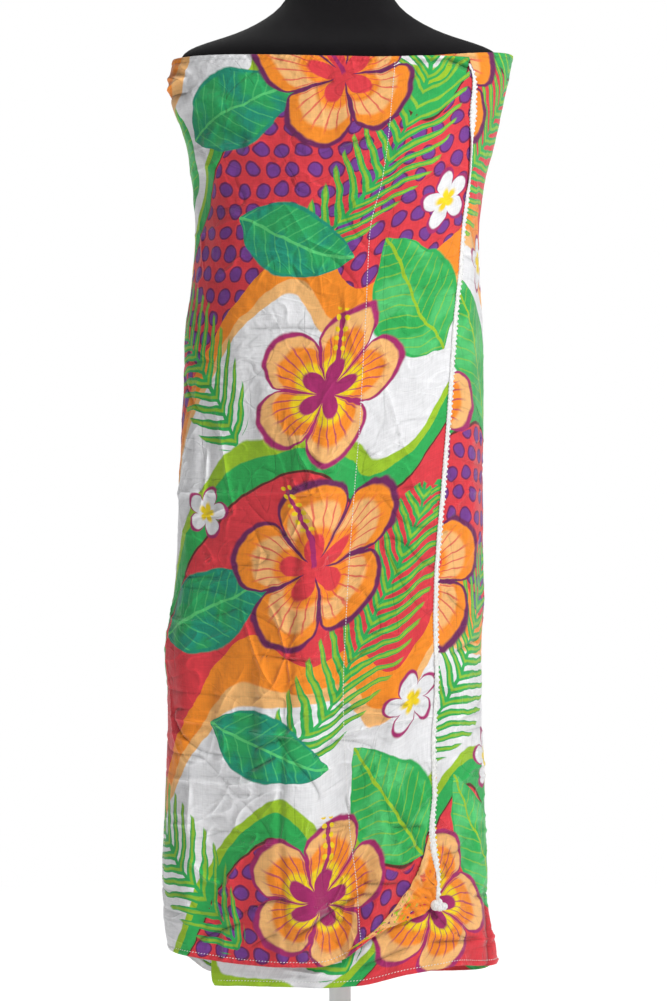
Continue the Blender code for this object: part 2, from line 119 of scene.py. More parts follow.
# Floor, which fades into the studio's white away from the object
FLOOR_SIZE = 40.0
FLOOR_DROP = 0.0005
FADE_START = 1.1
FADE_END = 2.4
WORLD_LIGHT = 0.09

# Camera: level, at half of the garment's height
CAMERA_PLACE = (-0.0074, -3.2, 0.757)
CAMERA_LENS = 100.5

# Sections of the wound cloth, in metres: its reach to each side of the axis at each height
Section = namedtuple("Section", "height left right squareness")
CLOTH_SECTIONS = [Section(*row) for row in (
    (0.195, 0.1905, 0.1830, 2.45), (0.230, 0.1915, 0.1815, 2.45), (0.290, 0.1998, 0.1712, 2.40),
    (0.377, 0.2003, 0.1665, 2.35), (0.465, 0.1978, 0.1655, 2.35), (0.530, 0.1950, 0.1641, 2.30),
    (0.590, 0.1955, 0.1660, 2.30), (0.640, 0.1890, 0.1678, 2.30), (0.690, 0.1860, 0.1679, 2.30),
    (0.780, 0.1832, 0.1684, 2.30), (0.868, 0.1785, 0.1689, 2.25), (0.948, 0.1755, 0.1686, 2.25),
    (1.013, 0.1685, 0.1644, 2.25), (1.068, 0.1652, 0.1632, 2.25), (1.100, 0.1680, 0.1674, 2.25),
    (1.126, 0.1706, 0.1715, 2.25), (1.158, 0.1752, 0.1799, 2.30), (1.184, 0.1828, 0.1859, 2.35),
    (1.201, 0.1893, 0.1893, 2.35), (1.215, 0.1932, 0.1920, 2.40), (1.229, 0.1943, 0.1954, 2.40),
    (1.246, 0.1925, 0.1992, 2.40), (1.265, 0.1890, 0.2022, 2.40),
)]

# Heights of the hem and the top edge, round the wrap in degrees
Border = namedtuple("Border", "turn hem top")
WRAP_BORDERS = [Border(*row) for row in (
    (-58, 0.2155, 1.2430), (-50, 0.2170, 1.2440), (-30, 0.2174, 1.2450), (-12, 0.2168, 1.2455),
    (3, 0.2185, 1.2462), (14, 0.2202, 1.2470), (25, 0.2248, 1.2480), (37, 0.2312, 1.2502),
    (50, 0.2350, 1.2530), (60, 0.2375, 1.2564), (75, 0.2320, 1.2620), (92, 0.2270, 1.2640),
    (106, 0.2130, 1.2613), (120, 0.2065, 1.2580), (150, 0.2000, 1.2520), (180, 0.1965, 1.2500),
    (210, 0.1965, 1.2510), (235, 0.2010, 1.2535), (247, 0.2080, 1.2550), (255, 0.2250, 1.2562),
    (262, 0.2390, 1.2570), (275, 0.2500, 1.2575), (290, 0.2480, 1.2560), (300, 0.2445, 1.2548),
    (312, 0.2420, 1.2535), (335, 0.2415, 1.2515), (352, 0.2425, 1.2507), (364, 0.2530, 1.2505),
    (373, 0.2700, 1.2500), (384, 0.2870, 1.2500), (394, 0.2930, 1.2505), (402, 0.3060, 1.2515),
    (412, 0.3160, 1.2525),
)]

# The upright seam and the free edge at each height, in millimetres across the front
Edge = namedtuple("Edge", "height seam free")
FRONT_EDGES = in_metres(Edge, [
    (240, 26, 109), (276, 24.1, 109), (312, 21.5, 109.5), (345, 18, 109), (390, 12, 102.5),
    (431, 9.5, 105.5), (489, 6, 104.5), (550, 4.4, 107.8), (626, 7.5, 106.8), (700, 11.8, 109.2),
    (770, 17, 115), (836, 22.2, 119.8), (900, 25.8, 123.8), (965, 29.4, 128.3), (1011, 31.5, 132.8),
    (1060, 35, 137.3), (1105, 46.5, 142.5), (1158, 54.5, 146.8), (1200, 58.3, 149.5),
    (1230, 61, 150.3), (1260, 63.5, 140),
])

# Where the under layer ends, in millimetres across the front
InnerEnd = namedtuple("InnerEnd", "height across")
INNER_END = in_metres(InnerEnd, [
    (214, -137.5), (219, -142.2), (230, -144), (700, -144), (1250, -148),
])

# Large folds on the unrolled cloth, as in the frame: rise above 0 is a ridge
Fold = namedtuple("Fold", "low_turn low_height high_turn high_height width rise")
OUTER_FOLDS = [Fold(*row) for row in (
    (342, 0.255, 346, 0.910, 0.024, 0.0045), (327, 0.380, 333, 0.820, 0.022, -0.0022),
    (293, 0.470, 292, 0.905, 0.018, 0.0045), (305, 0.440, 303, 0.860, 0.020, -0.0020),
    (281, 0.560, 281, 0.625, 0.028, 0.0040), (284, 0.240, 287, 0.420, 0.024, 0.0050),
    (304, 0.240, 302, 0.380, 0.020, -0.0022), (321, 0.238, 318, 0.400, 0.024, 0.0045),
    (282, 1.175, 279, 1.262, 0.018, 0.0035), (296, 1.060, 284, 1.190, 0.022, -0.0018),
    (309, 1.010, 298, 1.150, 0.020, 0.0025), (365, 0.235, 396, 0.400, 0.020, 0.0100),
    (388, 0.290, 403, 0.345, 0.016, 0.0045), (372, 0.420, 378, 0.760, 0.020, 0.0025),
    (392, 0.480, 396, 0.900, 0.016, 0.0022),
)]
BACK_FOLDS = [Fold(*row) for row in (
    (108, 0.230, 104, 0.760, 0.026, 0.0050), (122, 0.215, 119, 0.520, 0.022, -0.0050),
    (137, 0.205, 142, 0.900, 0.028, 0.0070), (154, 0.205, 155, 0.620, 0.022, -0.0055),
    (170, 0.205, 165, 1.010, 0.028, 0.0060), (186, 0.205, 188, 0.540, 0.022, -0.0050),
    (202, 0.205, 207, 0.850, 0.028, 0.0075), (219, 0.210, 219, 0.600, 0.022, -0.0050),
    (236, 0.220, 232, 0.960, 0.028, 0.0060), (251, 0.230, 250, 0.500, 0.022, -0.0035),
    (146, 0.980, 171, 1.090, 0.020, 0.0030), (214, 0.960, 190, 1.070, 0.020, 0.0030),
)]
UNDER_FOLDS = [Fold(*row) for row in (
    (84, 0.225, 82, 0.560, 0.024, 0.0040), (70, 0.228, 68, 0.420, 0.020, -0.0035),
    (66, 0.640, 64, 1.040, 0.022, 0.0025),
)]

# Creases seen from the front or the back, as lines between two places, all in millimetres.
# bow moves a line's middle to its left. A pressed crease has a sharp top, a soft one a round
# top.
Crease = namedtuple("Crease", "x0 z0 x1 z1 bow width rise")
PRESSED_FRONT = in_metres(Crease, [
    (-185, 766, -70, 763, 1, 4.5, 1.1), (-78, 763, 110, 761, 3, 4.5, 0.9),
    (-148, 814, -158, 744, 3, 4, 1.6), (-50, 782, -36, 764, -2, 3.5, 1.2),
    (-41, 752, -24, 712, 3, 3.6, 1.4), (-41, 742, -50, 716, 1, 3.2, 1.1),
    (-43, 807, -37, 766, 6, 4, 1.3), (-171, 738, -119, 752, -3, 4, 1.1),
    (-68, 640, 0, 649, -4, 4.5, 1.5), (0, 652, 30, 657, 0, 3.6, 0.8),
    (67, 770, 93, 774, 0, 3.2, -1), (-22, 785, -7, 789, 0, 3.2, -0.9),
    (-188, 513, -103, 502, 1, 4.6, 1.5), (-106, 502, -16, 493, 1, 5, 1.7),
    (-18, 493, 104, 518, 4, 5, 1.5), (-105, 455, -71, 474, 0, 3, -1.6),
    (-31, 473, -3, 494, 1, 3.4, -1.4), (-96, 482, -52, 497, 1, 3.4, -1.2),
    (-187, 444, -127, 441, 1, 4, 1), (-127, 441, -94, 447, -1, 4.2, 1.4),
    (-165, 446, -167, 382, 0, 3.4, 1.2), (-33, 394, 14, 399, -1, 3.2, -1.2),
    (-91, 586, -30, 578, 1, 3.4, -1.6), (5, 574, 32, 594, 1, 3.4, -1.4),
    (-4, 566, 24, 584, 2, 3.4, 1.1), (56, 396, 92, 396, 0, 3.2, -1.7),
    (20, 334, 66, 334, 0, 3.2, -1.8), (-165, 356, -148, 334, 1, 4.2, 2),
    (-150, 336, -134, 331, 1, 4, 1.5), (-111, 298, -96, 307, 0, 3.2, -1.6),
    (-98, 307, -58, 318, 1, 3.4, -2), (-162, 264, -108, 289, 1, 3.6, -2.2),
    (-49, 275, 20, 320, 2, 3.6, -2.4), (-99, 262, -70, 279, 1, 3.2, -1.5),
    (-138, 312, -128, 292, 1, 3.4, 1.1), (-3, 1146, 34, 1156, 1, 3.4, -1.2),
    (-40, 1045, 22, 1020, -2, 4, 1.1), (-103, 946, -19, 945, 1, 3.6, -1),
    (40, 905, 52, 903, 0, 3, -1), (-30, 1215, -6, 1222, 1, 3.6, -0.8),
    (86, 560, 104, 566, 0, 3.4, 1), (30, 450, 86, 462, 2, 4, 0.9),
    (-170, 660, -126, 652, 1, 3.6, -1), (-150, 600, -118, 612, 1, 3.6, 1),
    (118, 1249, 145, 1239, 0, 4, -2.4), (80, 1243, 120, 1248, 0, 3.4, -1),
    (-198, 1237, -176, 1229, 1, 4.6, 2.2), (-197, 1222, -174, 1232, 1, 4.2, 1.8),
    (-196, 1214, -170, 1215, 1, 4, -2), (-186, 1250, -168, 1236, 1, 3.6, 1.2),
])
SOFT_FRONT = in_metres(Crease, [
    (-178, 1193, -144, 1171, 0, 10, -2.4), (-141, 1168, -104, 1151, 0, 9.5, -2.2),
    (-170, 1212, -126, 1196, 0, 10, 1.6), (-165, 1150, -120, 1112, 0, 10, 1.4),
    (-162, 1120, -130, 1070, 0, 11, -1.4), (66, 1190, 132, 1214, 0, 11, 1),
    (-105, 560, -108, 450, 3, 11, -2.2), (-86, 590, -84, 440, 0, 10, 1.8),
    (-128, 560, -132, 460, 0, 10, 1.6), (-150, 880, -152, 700, 2, 10, -1.6),
    (-100, 900, -112, 760, 2, 12, -1.2), (-30, 330, -40, 250, 2, 10, 2.2),
    (-72, 330, -80, 248, 0, 11, -1.8), (-120, 350, -122, 250, 2, 10, 2),
    (-160, 420, -170, 260, 0, 10, 1.6), (60, 560, 58, 420, 3, 12, 1.4),
    (85, 700, 80, 560, 0, 10, -1), (36, 420, 30, 340, 0, 10, -1.4),
])
PRESSED_UNDER = in_metres(Crease, [
    (100, 265, 160, 262, 1, 3, -1.8), (135, 766, 162, 768, 0, 4, 0.9),
    (126, 512, 162, 521, 0, 4, 1.2), (124, 585, 160, 602, 0, 3.4, -1.2),
    (150, 310, 172, 309, 0, 3, -1.4), (20, 238, 80, 262, 1, 3.4, -1.4),
    (-60, 236, -10, 228, 1, 3.4, 1), (165, 318, 169, 226, 1, 4, -2.2),
    (148, 420, 158, 350, 1, 3.4, 1.2),
])
PRESSED_BACK = in_metres(Crease, [
    (-170, 765, -20, 768, 2, 4.5, 1.1), (-30, 768, 160, 760, 2, 4.5, 1),
    (-175, 508, -40, 498, 3, 4.8, 1.5), (-45, 498, 150, 512, 4, 4.8, 1.4),
    (-120, 945, 60, 948, 2, 4.2, -1), (20, 1090, 110, 1060, 4, 5, 1.3),
    (-130, 1070, -50, 1095, 3, 4.6, -1.2), (-150, 660, -92, 640, 1, 3.6, -1.6),
    (50, 640, 112, 662, 2, 3.6, 1.4), (30, 420, 96, 452, 2, 3.6, -1.8),
    (-110, 380, -40, 412, 2, 3.8, 1.7), (-150, 300, -85, 262, 2, 3.6, -2),
    (70, 330, 140, 290, 2, 3.8, -2), (-20, 300, 45, 340, 2, 3.6, 1.6),
    (-85, 850, -40, 830, 1, 3.6, 1.2), (60, 860, 105, 880, 1, 3.6, -1.2),
    (0, 720, 6, 560, 4, 4.2, 1.2),
])
SOFT_BACK = in_metres(Crease, [
    (-150, 1200, -80, 1150, 4, 12, -1.8), (150, 1205, 90, 1145, 4, 12, -1.8),
    (-60, 1180, 40, 1165, 3, 12, 1.2), (-60, 620, -64, 420, 3, 11, 2),
    (85, 600, 82, 380, 3, 11, 2.2), (20, 520, 16, 300, 3, 11, -2),
])

# How far the creases above are deepened, and how far the outer layer stands off the under one
PRESSED_SCALE = 1.7
PRESSED_WIDTH = 0.56
SOFT_SCALE = 1.7
OUTER_EASE = 0.0012
SHADING_STEEPNESS = 2.1

# Places a side in the table of random heights
LATTICE = 61

# Small wrinkles left from folding and wear: how they lean, how far apart, and how proud
WRINKLE_WIDTH = 0.0024
LINE_REACH = 0.008
Wrinkle = namedtuple("Wrinkle", "lean cell rise seed")
WRINKLES = [
    Wrinkle(0.0, (0.110, 0.030), 0.0017, 41),
    Wrinkle(0.3, (0.032, 0.085), 0.0014, 43),
    Wrinkle(0.8, (0.050, 0.050), -0.0015, 45),
    Wrinkle(-0.7, (0.036, 0.046), 0.0012, 47),
    Wrinkle(0.1, (0.090, 0.022), -0.0010, 49),
    Wrinkle(-0.2, (0.020, 0.024), 0.0008, 51),
]

# Round waves: of the slack cloth, of the hanging hem, and the fine unevenness everywhere
SLACK_WAVES = [
    Wrinkle(0.0, (0.034, 0.190), 0.0021, 1),
    Wrinkle(0.3, (0.034, 0.050), 0.0012, 2),
]
HEM_WAVE = Wrinkle(0.0, (0.026, 0.120), 0.0018, 4)
UNEVENNESS = Wrinkle(0.2, (0.008, 0.011), 0.00030, 11)

# How far the cloth may sink or rise without running through its neighbours
OUTER_SINK = 0.0024
INNER_SINK = 0.0045
TUCKED_SINK = 0.0011
FREE_RISE = 0.0100
HIDDEN_RISE = 0.0012

# Fall in the front cloth: its left side slopes back from it, its right side less
FALL = [(0.838, -0.016), (0.749, -0.034), (0.514, -0.051), (0.386, -0.057), (0.260, -0.050)]
FALL_RISE = 0.0085
FALL_LEFT = 0.058
FALL_RIGHT = 0.034
FALL_EDGE = 0.0065
FALL_DIP = 0.24

# Crumple of the turned corner, in metres
CORNER_CENTRE = (0.086, 0.322)
CORNER_REACH = (0.030, 0.052)
CORNER_TIP = (0.106, 0.306)
CORNER_RISE = 0.0026


def table_value(rows, key, column, where):
    """Values of a table's column at places between its rows, on a smooth curve."""
    places, values = (np.array([getattr(row, name) for row in rows], float)
                      for name in (key, column))
    where = np.clip(where, places[0], places[-1])
    index = np.clip(np.searchsorted(places, where, side="right") - 1, 0, len(rows) - 2)
    slopes = np.zeros_like(values)
    slopes[1:-1] = (values[2:] - values[:-2]) / (places[2:] - places[:-2])
    slopes[0] = (values[1] - values[0]) / (places[1] - places[0])
    slopes[-1] = (values[-1] - values[-2]) / (places[-1] - places[-2])
    span = places[index + 1] - places[index]
    part = (where - places[index]) / span
    start = slopes[index] * span
    end = slopes[index + 1] * span
    rise = values[index + 1] - values[index]
    return (values[index] + part * start + part ** 2 * (3 * rise - 2 * start - end)
            + part ** 3 * (start + end - 2 * rise))


def soft_step(low, high, where):
    """0 before low, 1 past high, and soft between them."""
    part = np.clip((where - low) / (high - low), 0.0, 1.0)
    return part * part * (3.0 - 2.0 * part)


def section_points(angle, left, right, front, back, squareness):
    side = np.where(np.sin(angle) >= 0, right, left)
    depth = np.where(np.cos(angle) >= 0, front, back)
    radius = ((np.abs(np.sin(angle)) / side) ** squareness
              + (np.abs(np.cos(angle)) / depth) ** squareness) ** (-1.0 / squareness)
    return radius * np.sin(angle), -radius * np.cos(angle)


def depth_for_girth(left, right, squareness):
    angles = np.linspace(0.0, math.tau, 97)
    low = 0.08
    high = 0.40
    for _ in range(30):
        middle = (low + high) / 2
        x, y = section_points(angles, left, right, middle * FRONT_SHARE,
                              middle * (1 - FRONT_SHARE), squareness)
        if np.hypot(np.diff(x), np.diff(y)).sum() < WRAP_GIRTH:
            low = middle
        else:
            high = middle
    return (low + high) / 2


DeepSection = namedtuple("DeepSection", "height left right depth squareness")
DEEP_SECTIONS = [
    DeepSection(row.height, row.left, row.right,
                depth_for_girth(row.left, row.right, row.squareness), row.squareness)
    for row in CLOTH_SECTIONS
]


def bell(distance, width):
    return np.exp(-(distance / width) ** 2)


def fold_rise(folds, turn, height):
    total = np.zeros_like(turn)
    for fold in folds:
        run_across = (fold.high_turn - fold.low_turn) * METRES_PER_DEGREE
        run_up = fold.high_height - fold.low_height
        length = math.hypot(run_across, run_up)
        across = (turn - fold.low_turn) * METRES_PER_DEGREE
        up = height - fold.low_height
        along = (across * run_across + up * run_up) / length
        away = (across * run_up - up * run_across) / length
        fade = soft_step(-0.030, 0.035, along) * soft_step(-0.050, 0.090, length - along)
        total += fold.rise * bell(away, fold.width) * fade
    return total


def wrap_points(turn, height, extra=0.0):
    """Middle of the frame's cloth at these places, moved out by extra."""
    climb = soft_step(CLIMB_START_TURN, CLIMB_END_TURN, turn)
    lift = LAYER_STEP * climb
    lift += np.where(turn > CLIMB_START_TURN - 60, fold_rise(OUTER_FOLDS, turn, height), 0.0)
    lift += np.where((turn > 60) & (turn < CLIMB_END_TURN),
                     fold_rise(BACK_FOLDS, turn, height), 0.0)
    lift += np.where(turn < 140, fold_rise(UNDER_FOLDS, turn, height), 0.0)
    out = lift - LAYER_STEP - CLOTH_WALL / 2 + extra
    left = table_value(DEEP_SECTIONS, "height", "left", height) + out
    right = table_value(DEEP_SECTIONS, "height", "right", height) + out
    depth = table_value(DEEP_SECTIONS, "height", "depth", height)
    squareness = table_value(DEEP_SECTIONS, "height", "squareness", height)
    x, y = section_points(np.radians(turn), left, right, depth * FRONT_SHARE + out,
                          depth * (1 - FRONT_SHARE) + out, squareness)
    return np.stack([x, y, height], axis=-1)


def turn_for(across, height, low, high):
    """Turn from low to high of the place that is this far across at this height."""
    low = np.full_like(height, low)
    high = np.full_like(height, high)
    for _ in range(40):
        middle = (low + high) / 2
        short = wrap_points(middle, height)[..., 0] < across
        low = np.where(short, middle, low)
        high = np.where(short, high, middle)
    return (low + high) / 2


def turn_curve(rows, column, start):
    """Turns of an edge whose across position the table gives, for a run of heights."""
    heights = np.linspace(0.190, 1.280, 240)
    across = table_value(rows, "height", column, heights)
    return heights, turn_for(across, heights, start - 89.0, start + 89.0)


SEAM_CURVE = turn_curve(FRONT_EDGES, "seam", 360)
FREE_CURVE = turn_curve(FRONT_EDGES, "free", 360)
INNER_CURVE = turn_curve(INNER_END, "across", 0)


def row_parts():
    """Shares of the cloth's height at its rows, closer along the hem and the top edge."""
    hem = [step / CLOTH_HEIGHT for step in HEM_STEPS]
    top = [1.0 - step / CLOTH_HEIGHT for step in TOP_STEPS]
    body = list(np.linspace(hem[-1], top[0], BODY_ROWS + 2)[1:-1])
    return np.array(hem + body + top)


def sheet_places(edges, counts):
    """Grids of turn and height between edges, each a constant turn or an edge's curve."""
    parts = row_parts()[:, None]
    columns = sum(counts) + 1
    height = np.repeat(ROUGH_HEM + parts * ROUGH_HEIGHT, columns, axis=1)
    for _ in range(4):
        turns = []
        at = 0
        for (first, last), count in zip(zip(edges, edges[1:]), counts):
            end = at + count
            stop = end + 1 if end == columns - 1 else end
            here = height[:, at:stop]
            share = np.arange(stop - at) / count
            start = np.interp(here, *first) if isinstance(first, tuple) else first
            finish = np.interp(here, *last) if isinstance(last, tuple) else last
            turns.append(start + share * (finish - start) + 0.0 * here)
            at = end
        turn = np.concatenate(turns, axis=1)
        hem = table_value(WRAP_BORDERS, "turn", "hem", turn)
        top = table_value(WRAP_BORDERS, "turn", "top", turn)
        height = hem + parts * (top - hem)
    return turn, height


def soft_noise(across, up, cell_across, cell_up, seed):
    """Smooth random heights from -1 to 1, with cells of this width and height."""
    lattice = np.random.RandomState(seed).uniform(-1.0, 1.0, (LATTICE, LATTICE))
    column, row = (np.floor(part).astype(int) for part in (across / cell_across, up / cell_up))
    right = across / cell_across - column
    above = up / cell_up - row
    right = right * right * (3 - 2 * right)
    above = above * above * (3 - 2 * above)

    def level(line):
        return (lattice[column % LATTICE, line % LATTICE] * (1 - right)
                + lattice[(column + 1) % LATTICE, line % LATTICE] * right)

    return level(row) * (1 - above) + level(row + 1) * above


def crease_place(crease, across, height):
    """Share of the way along a crease, and the distance to its left, for a grid of places."""
    run_x = crease.x1 - crease.x0
    run_z = crease.z1 - crease.z0
    length = math.hypot(run_x, run_z)
    dx = across - crease.x0
    dz = height - crease.z0
    along = (dx * run_x + dz * run_z) / length ** 2
    away = (dz * run_x - dx * run_z) / length
    return along, away - crease.bow * 4 * along * (1 - along)


def crease_rise(creases, across, height, pressed):
    total = np.zeros_like(across)
    for crease in creases:
        along, away = crease_place(crease, across, height)
        fade = soft_step(-0.12, 0.22, along) * soft_step(-0.12, 0.22, 1 - along)
        if pressed:
            shape = np.exp(-np.sqrt((away / (crease.width * PRESSED_WIDTH)) ** 2 + 0.04) + 0.2)
        else:
            shape = bell(away, crease.width)
        total += crease.rise * shape * fade
    return total


def add_lines(lines, creases, across, height, share):
    """Keeps, of the lines so far and these creases, the nearest line and how far it rises."""
    away, depth = lines
    for crease in creases:
        along, side = crease_place(crease, across, height)
        fade = soft_step(-0.06, 0.16, along) * soft_step(-0.06, 0.16, 1 - along) * share
        near = (np.abs(side) < np.abs(away)) & (fade > 0.02)
        away = np.where(near, side, away)
        depth = np.where(near, crease.rise * fade, depth)
    return away, depth


def fall_rise(across, height):
    """The long fall down the front: a dark dip along its left, then a slow rise to the side."""
    heights, middles = zip(*reversed(FALL))
    away = across - np.interp(height, heights, middles)
    left = np.exp(-np.abs(away / FALL_LEFT) ** 1.2)
    dip = FALL_DIP * bell(away + 1.3 * FALL_EDGE, FALL_EDGE)
    shape = np.where(away < 0, left, bell(away, FALL_RIGHT)) - dip
    return FALL_RISE * shape * soft_step(0.225, 0.300, height) * soft_step(0.930, 0.780, height)


def corner_rise(across, height):
    """Crumple of the turned corner: ridges that run out from the braid's end."""
    dx = across - CORNER_TIP[0]
    dz = height - CORNER_TIP[1]
    reach = (bell(across - CORNER_CENTRE[0], CORNER_REACH[0])
             * bell(height - CORNER_CENTRE[1], CORNER_REACH[1]))
    angle = np.arctan2(dz, dx)
    radius = np.hypot(dx, dz)
    rays = np.sin(angle * 15 + 9 * soft_noise(across, height, 0.020, 0.020, 8))
    crumple = soft_noise(across, height, 0.011, 0.014, 9)
    return CORNER_RISE * reach * (0.45 * rays * soft_step(0.0, 0.020, radius) + 0.8 * crumple)


def wrinkle_place(metres, height, wrinkle):
    """Distance to the nearest of a family of thin wandering creases, and its strength there."""
    along = metres + wrinkle.lean * height
    across_cell, up_cell = wrinkle.cell
    wander = soft_noise(along, height, across_cell, up_cell, wrinkle.seed)
    across = np.gradient(wander, axis=1) / np.abs(np.gradient(metres, axis=1))
    upward = np.gradient(wander, axis=0) / np.abs(np.gradient(height, axis=0))
    away = wander / np.maximum(np.hypot(across, upward), 1.0)
    patches = soft_noise(along, height, across_cell * 0.7, up_cell, wrinkle.seed + 1)
    return away, np.clip(0.15 + 1.3 * patches, 0.0, 1.0)


def wave_rise(wave, metres, height):
    return wave.rise * soft_noise(metres + wave.lean * height, height, *wave.cell, wave.seed)


def held_between(rise, lowest, highest):
    """Eases a rise towards its limits, so that no layer runs through the next."""
    return np.where(rise < 0, lowest * np.tanh(rise / lowest), highest * np.tanh(rise / highest))


def layer_shares(turn):
    """How far each place is on the outer layer, the back and the under layer."""
    outer = soft_step(256.0, 270.0, turn)
    back = soft_step(84.0, 100.0, turn) * soft_step(270.0, 256.0, turn)
    return outer, back, soft_step(104.0, 92.0, turn)


def slack_share(height):
    return 0.45 + 0.55 * soft_step(1.20, 0.50, height)


def fine_rise(turn, across, height):
    """All that is finer than the frame's folds, for a grid of places."""
    outer, back, under = layer_shares(turn)
    metres = turn * METRES_PER_DEGREE
    rise = outer * corner_rise(across, height)
    for share, pressed, soft in ((outer, PRESSED_FRONT, SOFT_FRONT), (under, PRESSED_UNDER, []),
                                 (back, PRESSED_BACK, SOFT_BACK)):
        rise += share * (PRESSED_SCALE * crease_rise(pressed, across, height, True)
                         + SOFT_SCALE * crease_rise(soft, across, height, False))
    slack = slack_share(height)
    for wave in SLACK_WAVES:
        rise += slack * wave_rise(wave, metres, height)
    for wrinkle in WRINKLES:
        away, strength = wrinkle_place(metres, height, wrinkle)
        shape = np.exp(-(np.abs(away) / WRINKLE_WIDTH) ** 1.5)
        rise += wrinkle.rise * slack * strength * shape
    rise += wave_rise(UNEVENNESS, metres, height)
    rise += soft_step(0.340, 0.235, height) * wave_rise(HEM_WAVE, metres, height)
    tucked = soft_step(1.080, 1.170, height) * (1 - outer)
    inner_sink = INNER_SINK + (TUCKED_SINK - INNER_SINK) * tucked
    lowest = OUTER_SINK * outer + (1 - outer) * inner_sink
    highest = FREE_RISE + (HIDDEN_RISE - FREE_RISE) * soft_step(48.0, 36.0, turn)
    rise = held_between(rise, lowest, highest)
    return rise + outer * (OUTER_EASE + fall_rise(across, height))


def crease_lines(turn, across, height):
    """Signed distance to the nearest crease's line, and how far that crease rises there."""
    outer, back, under = layer_shares(turn)
    metres = turn * METRES_PER_DEGREE
    away = np.full_like(turn, LINE_REACH)
    depth = np.zeros_like(turn)
    for wrinkle in WRINKLES:
        side, strength = wrinkle_place(metres, height, wrinkle)
        near = (np.abs(side) < np.abs(away)) & (strength > 0.05)
        away = np.where(near, side, away)
        depth = np.where(near, wrinkle.rise * strength * slack_share(height), depth)
    for share, creases in ((outer, PRESSED_FRONT), (under, PRESSED_UNDER), (back, PRESSED_BACK)):
        away, depth = add_lines((away, depth), creases, across, height, share)
    return away, depth * soft_step(LINE_REACH, LINE_REACH * 0.5, np.abs(away))


def hem_rise(turn):
    """Slight roll of the turned hem and top edge, puckered and drawn in at the stitches."""
    steps = (row_parts() * CLOTH_HEIGHT)[:, None]
    edge = np.minimum(steps, CLOTH_HEIGHT - steps)
    metres = turn * METRES_PER_DEGREE
    roll = HEM_ROLL * bell(edge - 0.0026, 0.0026)
    groove = HEM_GROOVE * bell(edge - HEM_STITCH_STEP, 0.0011)
    wander = soft_noise(metres, metres, 0.03, 1.0, 31)
    pucker = np.sin(math.tau * (metres + 0.7 * edge) / HEM_PUCKER_PITCH + 3 * wander)
    bulk = sum(HEM_KNOT_RISE * bell(turn - place, 1.9) for place in HEM_KNOT_TURNS)
    knot = bulk * bell(steps - 0.0040, 0.0050)
    return roll - groove + knot + HEM_PUCKER * pucker * bell(edge - 0.005, 0.005)


def grid_normals(points):
    across = np.gradient(points, axis=1)
    upward = np.gradient(points, axis=0)
    normal = np.cross(across, upward)
    normal /= np.linalg.norm(normal, axis=-1, keepdims=True)
    outward = points * np.array([1.0, 1.0, 0.0])
    facing = np.sign((normal * outward).sum(axis=-1).mean())
    return normal * facing


def smoothed(values, reach):
    """Mean of each value's neighbours, this many rows and columns to each side."""
    for axis in (0, 1):
        width = 2 * reach + 1
        pad = [(0, 0), (0, 0)]
        pad[axis] = (reach + 1, reach)
        total = np.cumsum(np.pad(values, pad, mode="edge"), axis=axis)
        if axis == 0:
            values = (total[width:] - total[:-width]) / width
        else:
            values = (total[:, width:] - total[:, :-width]) / width
    return values


# A stretch of cloth: its points, their outward directions, the same points with every crease
# made steeper for the shading, the points before creasing, and what the material needs to paint
# shade and highlight along the creases: the distance to the nearest one, its rise, and how far
# the cloth stands proud
Cloth = namedtuple("Cloth", "points out steep plain creasing")


def cloth_points(turn, height, hems=True):
    """A stretch of the cloth over these turns and heights."""
    plain = wrap_points(turn, height, CLOTH_WALL / 2 - FACE_INSET)
    normal = grid_normals(plain)
    rise = fine_rise(turn, plain[..., 0], height)
    if hems:
        rise += hem_rise(turn)
    points = plain + normal * rise[..., None]
    steep = plain + normal * (rise * SHADING_STEEPNESS)[..., None]
    # How far the cloth stands proud of its surroundings, for the painted highlight on ridges and the
    # painted shade in hollows
    proud = np.tanh((rise - smoothed(smoothed(rise, 3), 3)) / 0.0011)
    away, depth = crease_lines(turn, plain[..., 0], height)
    return Cloth(points, grid_normals(points), steep, plain, np.stack([away, depth, proud], -1))


def arc_lengths(points, axis):
    steps = np.linalg.norm(np.diff(points, axis=axis), axis=-1)
    pad = [(1, 0), (0, 0)] if axis == 0 else [(0, 0), (1, 0)]
    return np.cumsum(np.pad(steps, pad), axis=axis)


def with_turned_hems(points, normals, flats):
    """Adds the turned-in part of the hem and of the top edge, behind the cloth."""
    low = [6, 3, 1]
    high = [-7, -4, -2]
    fold = np.array([0.0, 0.0, TURNED_FOLD])
    hem = [points[row] - normals[row] * TURNED_GAP for row in low]
    hem.append(points[0] - fold - normals[0] * TURNED_GAP / 2)
    top = [points[-1] + fold - normals[-1] * TURNED_GAP / 2]
    top += [points[row] - normals[row] * TURNED_GAP for row in reversed(high)]
    hemmed = np.concatenate([np.stack(hem), points, np.stack(top)])
    return hemmed, [np.concatenate([flat[low + [0]], flat, flat[[-1] + high[::-1]]])
                    for flat in flats]


def with_turned_side(points, normals, flats, column, inner):
    """Adds the turned-in part of a side edge, as a few more columns behind the cloth."""
    gap = normals * TURNED_GAP
    edge = points[:, column] - gap[:, column] / 2
    behind = [points[:, k] - gap[:, k] for k in inner]
    if column == -1:
        sided = np.concatenate([points, np.stack([edge] + behind, axis=1)], axis=1)
        return sided, [np.concatenate([flat, flat[:, [-1] + inner]], axis=1) for flat in flats]
    sided = np.concatenate([np.stack(behind + [edge], axis=1), points], axis=1)
    return sided, [np.concatenate([flat[:, inner + [0]], flat], axis=1) for flat in flats]


def with_turned_edges(points, flats, column, inner):
    sided, flats = with_turned_side(points, grid_normals(points), flats, column, inner)
    return with_turned_hems(sided, grid_normals(sided), flats)


def put_in_scene(name, data):
    item = bpy.data.objects.new(name, data)
    bpy.context.scene.collection.objects.link(item)
    return item


